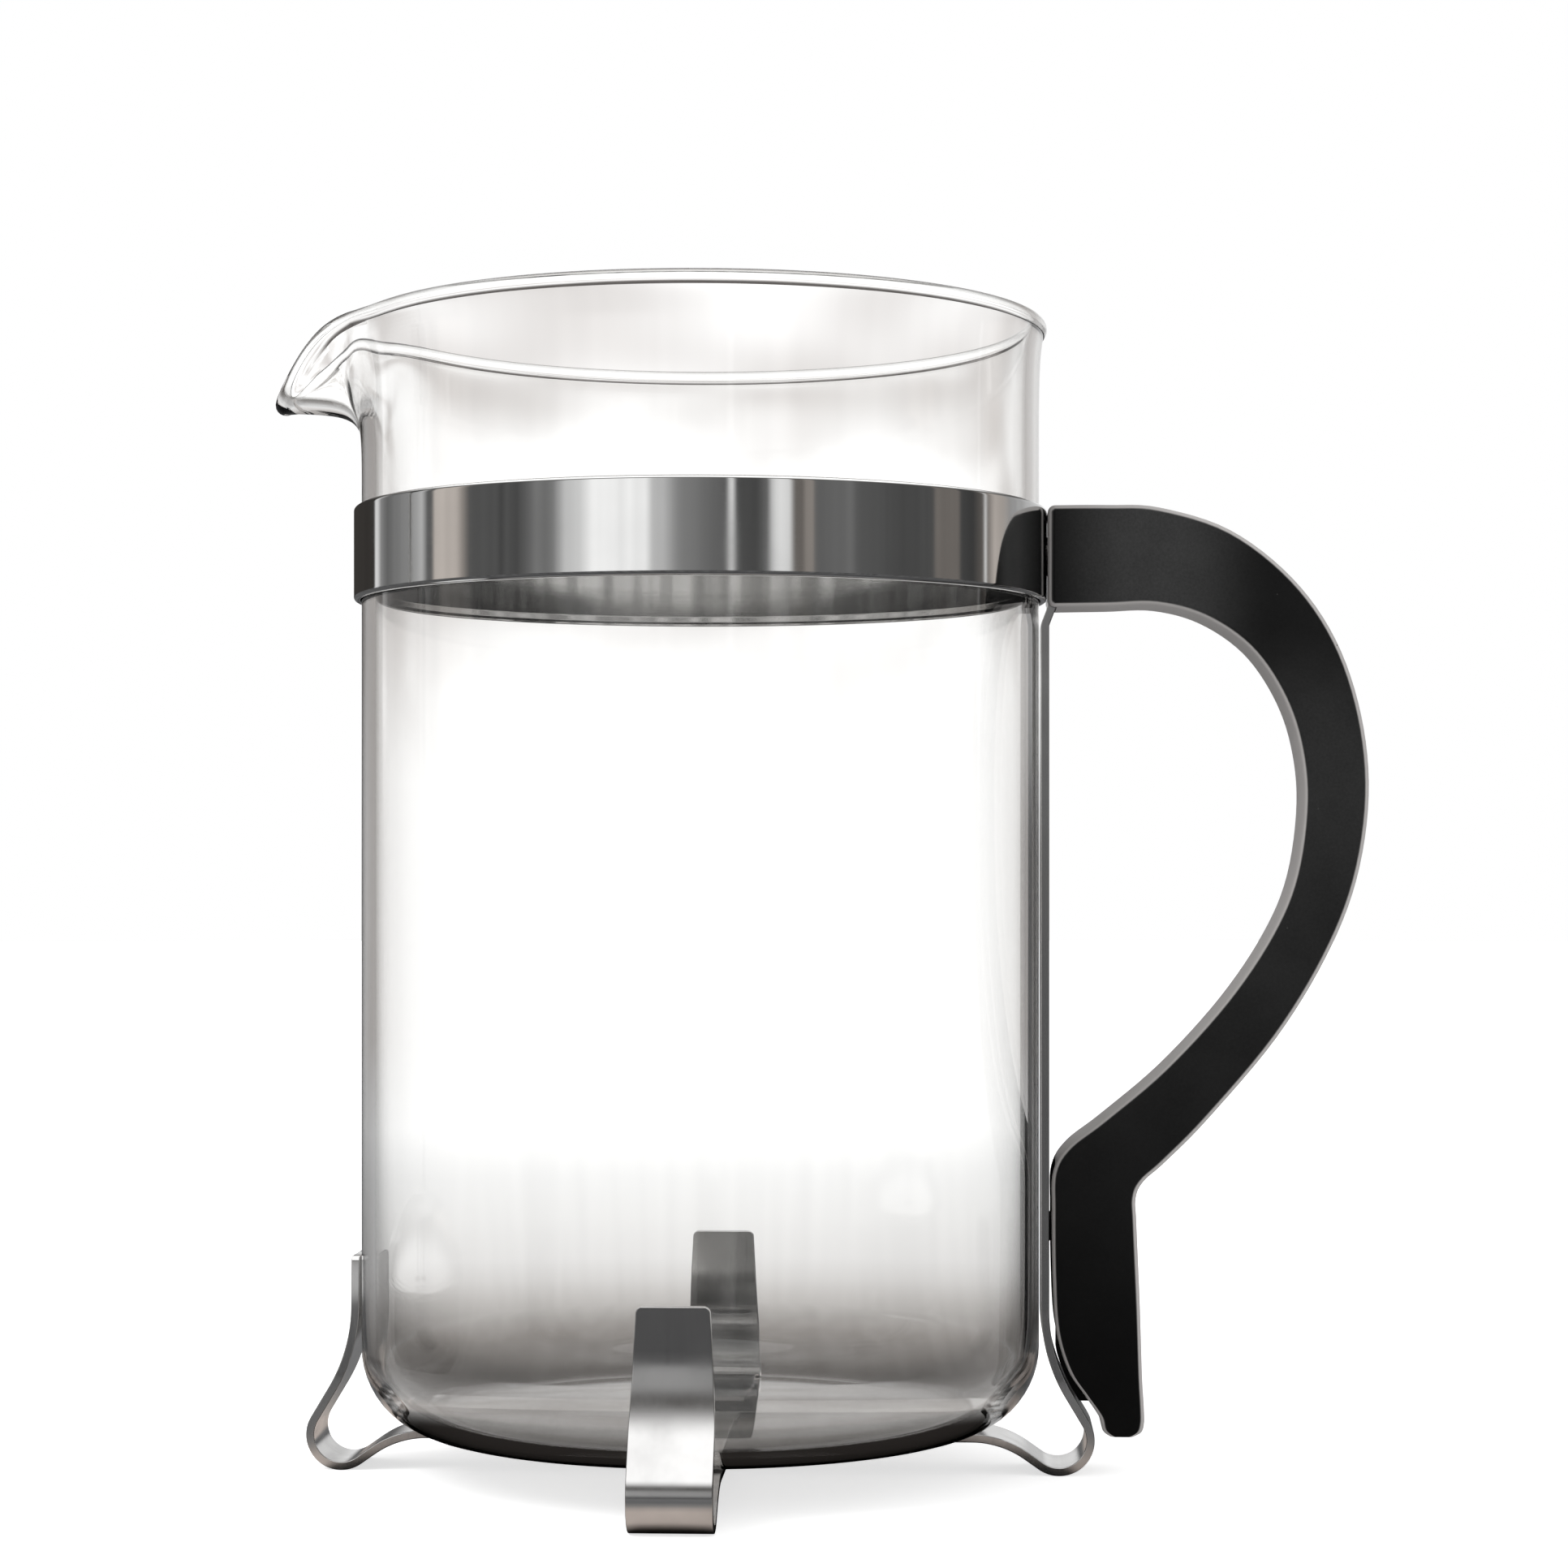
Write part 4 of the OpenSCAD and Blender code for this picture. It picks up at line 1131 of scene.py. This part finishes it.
# What the polished steel sees round the table: degrees from the camera's side,
# positive to the right, how bright the room is there, and a 1 where it is warm
ROOM_LEFT = [
    (-180, 0.9), (-171, 0.9), (-168, 0.045, 1), (-134, 0.045, 1), (-132.5, 0.95), (-130.5, 0.8),
    (-128, 0.3), (-123, 0.17), (-108, 0.36), (-101.5, 0.6), (-98.5, 0.14), (-96, 0.15),
    (-95, 0.7, 1), (-84.5, 0.68, 1), (-82, 0.38, 1), (-79, 0.115), (-68, 0.12), (-66, 0.075),
    (-64, 0.12), (-60, 0.085), (-53, 0.25), (-50, 0.21), (-47, 0.28), (-43, 0.7), (-37, 0.94),
    (-34.5, 1.25), (-30, 1.32), (-16, 1.18), (-14, 0.7), (-10, 0.6), (-5.5, 0.3), (0, 0.25),
]
ROOM_RIGHT = [
    (0, 0.25), (6, 0.17), (9.4, 0.13), (10.4, 0.9), (11.6, 1.1), (12.2, 0.1), (19, 0.085),
    (22.5, 0.18), (24, 0.75), (27, 1.04), (29.5, 1.0), (31.3, 0.18, 1), (34, 0.18, 1),
    (35, 0.33, 1), (37.3, 0.33, 1), (38.3, 0.15), (50, 0.2), (53, 0.13), (70, 0.09), (82, 0.1),
    (83.5, 0.21, 1), (93.5, 0.21, 1), (95, 0.08), (101, 0.055), (106.5, 0.16, 1), (107.5, 0.9),
    (109, 0.26, 1), (113, 0.6, 1), (118, 0.5, 1), (124, 0.4), (158, 0.9), (180, 0.9),
]
WARM = (1.0, 0.91, 0.84)


# How bright the room is behind everything, past the glass
BACKDROP = (1.3, 1.3, 1.3)
# The floor's shade as glass shows it, over this distance from the beaker's axis
SHADED_TO = 0.7
SHADED_FLOOR = [
    (0.0, (0.03, 0.026, 0.024)), (0.094, (0.05, 0.044, 0.04)), (0.13, (0.15, 0.138, 0.13)),
    (0.2, (0.3, 0.28, 0.265)), (0.25, (0.44, 0.42, 0.405)), (0.3, (0.6, 0.58, 0.565)),
    (0.35, (0.77, 0.755, 0.745)), (0.41, (0.9, 0.89, 0.885)), (0.54, (0.99, 0.985, 0.98)),
    (0.72, (1.07, 1.07, 1.07)), (1.0, BACKDROP),
]
# The floor's colour as the steel feet mirror it, over this distance from the axis: a painted shadow
# right round the feet, then a warm pale ring and greyer floor further out
MIRRORED_TO = 0.15
MIRRORED_FLOOR_AND_SHADOW = [
    (0.35, (0.01, 0.01, 0.009)), (0.368, (0.06, 0.055, 0.05)), (0.382, (0.85, 0.75, 0.69)),
    (0.41, (0.8, 0.7, 0.64)), (0.45, (0.36, 0.35, 0.34)), (0.5, (0.2, 0.205, 0.21)),
    (0.62, (0.24, 0.24, 0.245)), (0.72, (0.28, 0.28, 0.28)), (0.88, (0.09, 0.09, 0.092)),
]


def room_stops(rows, start):
    """Ramp stops over half a turn from a starting angle."""
    stops = []
    for angle, level, *warm in rows:
        tint = WARM if warm else (1.0, 1.0, 1.0)
        stops.append(((angle - start) / 180, tuple(level * c for c in tint)))
    return stops


def rays(t):
    """Whether a ray comes from the camera, a mirror or glass, and how often it was mirrored."""
    path = t.node("ShaderNodeLightPath")
    names = ("Is Camera Ray", "Is Glossy Ray", "Is Transmission Ray", "Glossy Depth")
    return [Value(t, path.outputs[name]) for name in names]


def streaks(t, x, y, z):
    """Soft streaks over the directions, from 0 to 1."""
    return t.clamp(t.noise(t.vector(x, y, z), 1.0, 2.0), 0.35, 0.65)


def behind_glass(t, x, y, z, bounced):
    """What lies past the glass in a direction.

    Gives how far ahead it is, how open it is, how much it belongs to a ray that was mirrored
    inside the glass, and its shade beside the open field.
    """
    s = panel("stage")
    ahead = y * cos(s.turned) - x * sin(s.turned)
    bounced = t.math("MINIMUM", bounced, 1.0)
    field = t.clamp(ahead, 0.86, 0.955) * (1 - 0.65 * bounced)
    streak = streaks(t, x * 22.0, y * 22.0, z * 2.0)
    beside_it = t.blend(streak, (0.48, 0.455, 0.44), (0.72, 0.71, 0.7))
    beside_it = t.blend(t.clamp(z, 0.25, 0.4), beside_it, (0.12, 0.11, 0.105))
    beside_it = t.blend(bounced, beside_it, (0.5, 0.475, 0.46))
    streak = streaks(t, x * 9.0, y * 9.0, 0.0)
    inner_wall = t.blend(streak, (0.28, 0.275, 0.27), (0.68, 0.67, 0.66))
    inside = bounced * (1 - t.clamp(ahead, 0.0, 0.4))
    return ahead, field, inside, t.blend(inside, beside_it, inner_wall)


def mirrored_room(t, x, y, z):
    """What polished steel sees: walls round the table, dark below, a pale ceiling above."""
    angle = t.math("ARCTAN2", y, x) - (panel("stage").turned - pi / 2)
    around = t.math("WRAP", angle, pi, -pi) / pi
    left = t.ramp(around + 1, room_stops(ROOM_LEFT, -180))
    right = t.ramp(around, room_stops(ROOM_RIGHT, 0))
    walls = t.blend(t.math("GREATER_THAN", around, 0.0), left, right)
    streak = t.noise(t.vector(around * 40.0, 0.0, 0.0), 1.0, 3.0) * 0.5 + 0.75
    dark = t.clamp(t.noise(t.vector(around * 90.0, 0.0, 0.0), 1.0, 2.0), 0.3, 0.7)
    dark = t.blend(dark, (0.07, 0.07, 0.072), (0.17, 0.17, 0.172))
    walls = t.blend(t.clamp(z, 0.0, 0.06), dark, t.scaled(walls, streak))
    upper = t.blend(t.clamp(z, 0.24, 0.4), walls, (0.13, 0.125, 0.12))
    return t.blend(t.clamp(z, 0.42, 0.76), upper, 1.75)


def make_world():
    s = panel("stage")
    world = bpy.data.worlds.new("Studio")
    bpy.context.scene.world = world
    t = shader_tree(world)
    x, y, z = t.parts(t.get("ShaderNodeTexCoord", output="Generated"))
    camera, glossy, through, bounced = rays(t)
    _, field, _, around_glass = behind_glass(t, x, y, z, bounced)
    haze = t.clamp(t.noise(t.vector(x * 6.0, y * 6.0, z * 16.0), 1.0, 2.0), 0.4, 0.66)
    backdrop = t.blend(haze * t.clamp(z, 0.02, 0.08), BACKDROP, (0.78, 0.75, 0.735))
    open_field = field * (1 - t.clamp(z, 0.2, 0.34))
    light = t.blend(glossy, s.light, mirrored_room(t, x, y, z))
    light = t.blend(through, light, t.blend(open_field, around_glass, backdrop))
    light = t.blend(camera, light, 1.0)
    shine = t.get("ShaderNodeBackground", {"Color": light, "Strength": 1.0})
    t.node("ShaderNodeOutputWorld", {"Surface": shine})


def floor_through_glass(t, x, y, out, bounced):
    """The floor as the glass shows it: shaded by the press, and pale far ahead."""
    ahead, field, inside, around_glass = behind_glass(t, x / out, y / out, 0.0, bounced)
    shaded = t.scaled(t.ramp(out / SHADED_TO, SHADED_FLOOR), 0.5 + 0.5 * field)
    behind = t.math("MAXIMUM", t.clamp(ahead, -0.1, 0.5), 1 - t.clamp(out, 0.045, 0.06))
    near = t.blend(behind, (0.62, 0.61, 0.6), shaded)
    near_and_far = t.blend(t.clamp(out, 0.5, 1.5), near, t.blend(field, around_glass, BACKDROP))
    return t.blend(inside * t.clamp(out, 0.08, 0.2), near_and_far, around_glass)


def make_floor():
    s, sides = panel("stage"), 64
    angles = [2 * pi * i / sides for i in range(sides)]
    edge = [(s.floor_r * cos(a), s.floor_r * sin(a), 0) for a in angles]
    floor = skin("floor", [[(0, 0, 0)], edge])
    material = bpy.data.materials.new("pale_floor")
    t = shader_tree(material)
    x, y, _ = t.parts(t.place())
    out = from_axis(x, y)
    camera, glossy, through, bounced = rays(t)
    pale = t.get("ShaderNodeBsdfDiffuse", {"Color": rgba(s.floor)})
    glow = t.get("ShaderNodeEmission", {"Color": rgba(1.0), "Strength": 0.68})
    seen = t.get("ShaderNodeAddShader", {0: pale, 1: glow})
    in_glass = t.get("ShaderNodeEmission", {"Color": floor_through_glass(t, x, y, out, bounced)})
    # The floor that the steel mirrors carries a painted shadow close round the feet
    near = t.get("ShaderNodeBsdfDiffuse", {"Color": t.ramp(out / MIRRORED_TO, MIRRORED_FLOOR_AND_SHADOW)})
    open_air = t.get("ShaderNodeBsdfTransparent")
    in_steel = t.either(t.clamp(out, 0.25, 0.3), near, open_air)
    hidden = t.either(through, t.either(glossy, pale, in_steel), in_glass)
    t.node("ShaderNodeOutputMaterial", {"Surface": t.either(camera, hidden, seen)})
    floor.data.materials.append(material)


def placed(name, data):
    """An object in the scene for a camera's or a lamp's data."""
    made = bpy.data.objects.new(name, data)
    bpy.context.scene.collection.objects.link(made)
    return made


def make_camera():
    s = panel("stage")
    data = bpy.data.cameras.new("Camera")
    camera = placed("Camera", data)
    right = Vector((cos(s.turned), sin(s.turned), 0))
    ahead = Vector((-sin(s.turned), cos(s.turned), 0))
    camera.location = right * s.aside - ahead * s.distance + Vector((0, 0, s.height))
    camera.rotation_euler = (pi / 2, 0, s.turned)
    data.lens, data.sensor_width, data.shift_y, data.clip_start = s.lens, 36, s.raised, 0.01
    bpy.context.scene.camera = camera


def make_lamp():
    s = panel("stage")
    place, aim = Vector((-0.75, -0.6, 1.05)), Vector((0, 0, 0.1))
    data = bpy.data.lights.new("Large_lamp", "AREA")
    data.shape, data.size, data.energy = "DISK", s.lamp_size, s.lamp
    lamp = placed("Large_lamp", data)
    lamp.location = place
    lamp.rotation_euler = (aim - place).to_track_quat("-Z", "Y").to_euler()
    lamp.visible_camera = lamp.visible_glossy = lamp.visible_transmission = False


# ---- operators and panel ----


class PRESS_OT_stage(Operator):
    """Make the floor, the room, the lamp and the camera"""

    bl_idname = "french_press.stage"
    bl_label = "Stage"
    bl_options = {"REGISTER", "UNDO"}

    def execute(self, context):
        context.scene.view_settings.view_transform = "Standard"
        make_camera()
        make_world()
        make_floor()
        make_lamp()
        return {"FINISHED"}


class PRESS_OT_beaker(Operator):
    """Make the glass beaker with its pouring spout"""

    bl_idname = "french_press.beaker"
    bl_label = "Beaker"
    bl_options = {"REGISTER", "UNDO"}

    def execute(self, context):
        make_beaker()
        return {"FINISHED"}


class PRESS_OT_frame(Operator):
    """Make the steel band, the two strips with their feet and the rivet"""

    bl_idname = "french_press.frame"
    bl_label = "Steel frame"
    bl_options = {"REGISTER", "UNDO"}

    def execute(self, context):
        make_band()
        make_strips()
        return {"FINISHED"}


class PRESS_OT_handle(Operator):
    """Make the black handle with its screws and inserts"""

    bl_idname = "french_press.handle"
    bl_label = "Handle"
    bl_options = {"REGISTER", "UNDO"}

    def execute(self, context):
        make_handle()
        return {"FINISHED"}


class PRESS_OT_filter(Operator):
    """Make the plates, the wire screen and the spring of the filter"""

    bl_idname = "french_press.filter"
    bl_label = "Filter"
    bl_options = {"REGISTER", "UNDO"}

    def execute(self, context):
        make_filter()
        return {"FINISHED"}


class PRESS_OT_rod(Operator):
    """Make the plunger's rod, collar and knob"""

    bl_idname = "french_press.rod"
    bl_label = "Rod and knob"
    bl_options = {"REGISTER", "UNDO"}

    def execute(self, context):
        make_rod()
        return {"FINISHED"}


class PRESS_OT_lid(Operator):
    """Make the lid's dome, insert, bush and clip"""

    bl_idname = "french_press.lid"
    bl_label = "Lid"
    bl_options = {"REGISTER", "UNDO"}

    def execute(self, context):
        make_lid()
        return {"FINISHED"}


OPERATORS = (
    PRESS_OT_stage, PRESS_OT_beaker, PRESS_OT_frame, PRESS_OT_handle,
    PRESS_OT_filter, PRESS_OT_rod, PRESS_OT_lid,
)


class PRESS_PT_panel(Panel):
    """The press's pieces with their sizes and colours"""

    bl_idname = "PRESS_PT_panel"
    bl_label = "French Press"
    bl_space_type = "VIEW_3D"
    bl_region_type = "UI"
    bl_category = "French Press"

    def draw(self, context):
        for operator in OPERATORS:
            self.layout.operator(operator.bl_idname)
        for key, group in SIZE_GROUPS.items():
            box = self.layout.box()
            box.label(text=key.replace("press_", "").capitalize())
            for field in group.__annotations__:
                box.prop(getattr(context.scene, key), field)


register_classes, unregister_classes = bpy.utils.register_classes_factory(
    (*SIZE_GROUPS.values(), *OPERATORS, PRESS_PT_panel)
)


def register():
    register_classes()
    for key, group in SIZE_GROUPS.items():
        setattr(bpy.types.Scene, key, bpy.props.PointerProperty(type=group))


def unregister():
    for key in SIZE_GROUPS:
        delattr(bpy.types.Scene, key)
    unregister_classes()


def main():
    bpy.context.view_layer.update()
    register()
    for operator in OPERATORS:
        group, name = operator.bl_idname.split(".")
        getattr(getattr(bpy.ops, group), name)()
    bpy.context.view_layer.update()


if __name__ == "__main__":
    main()
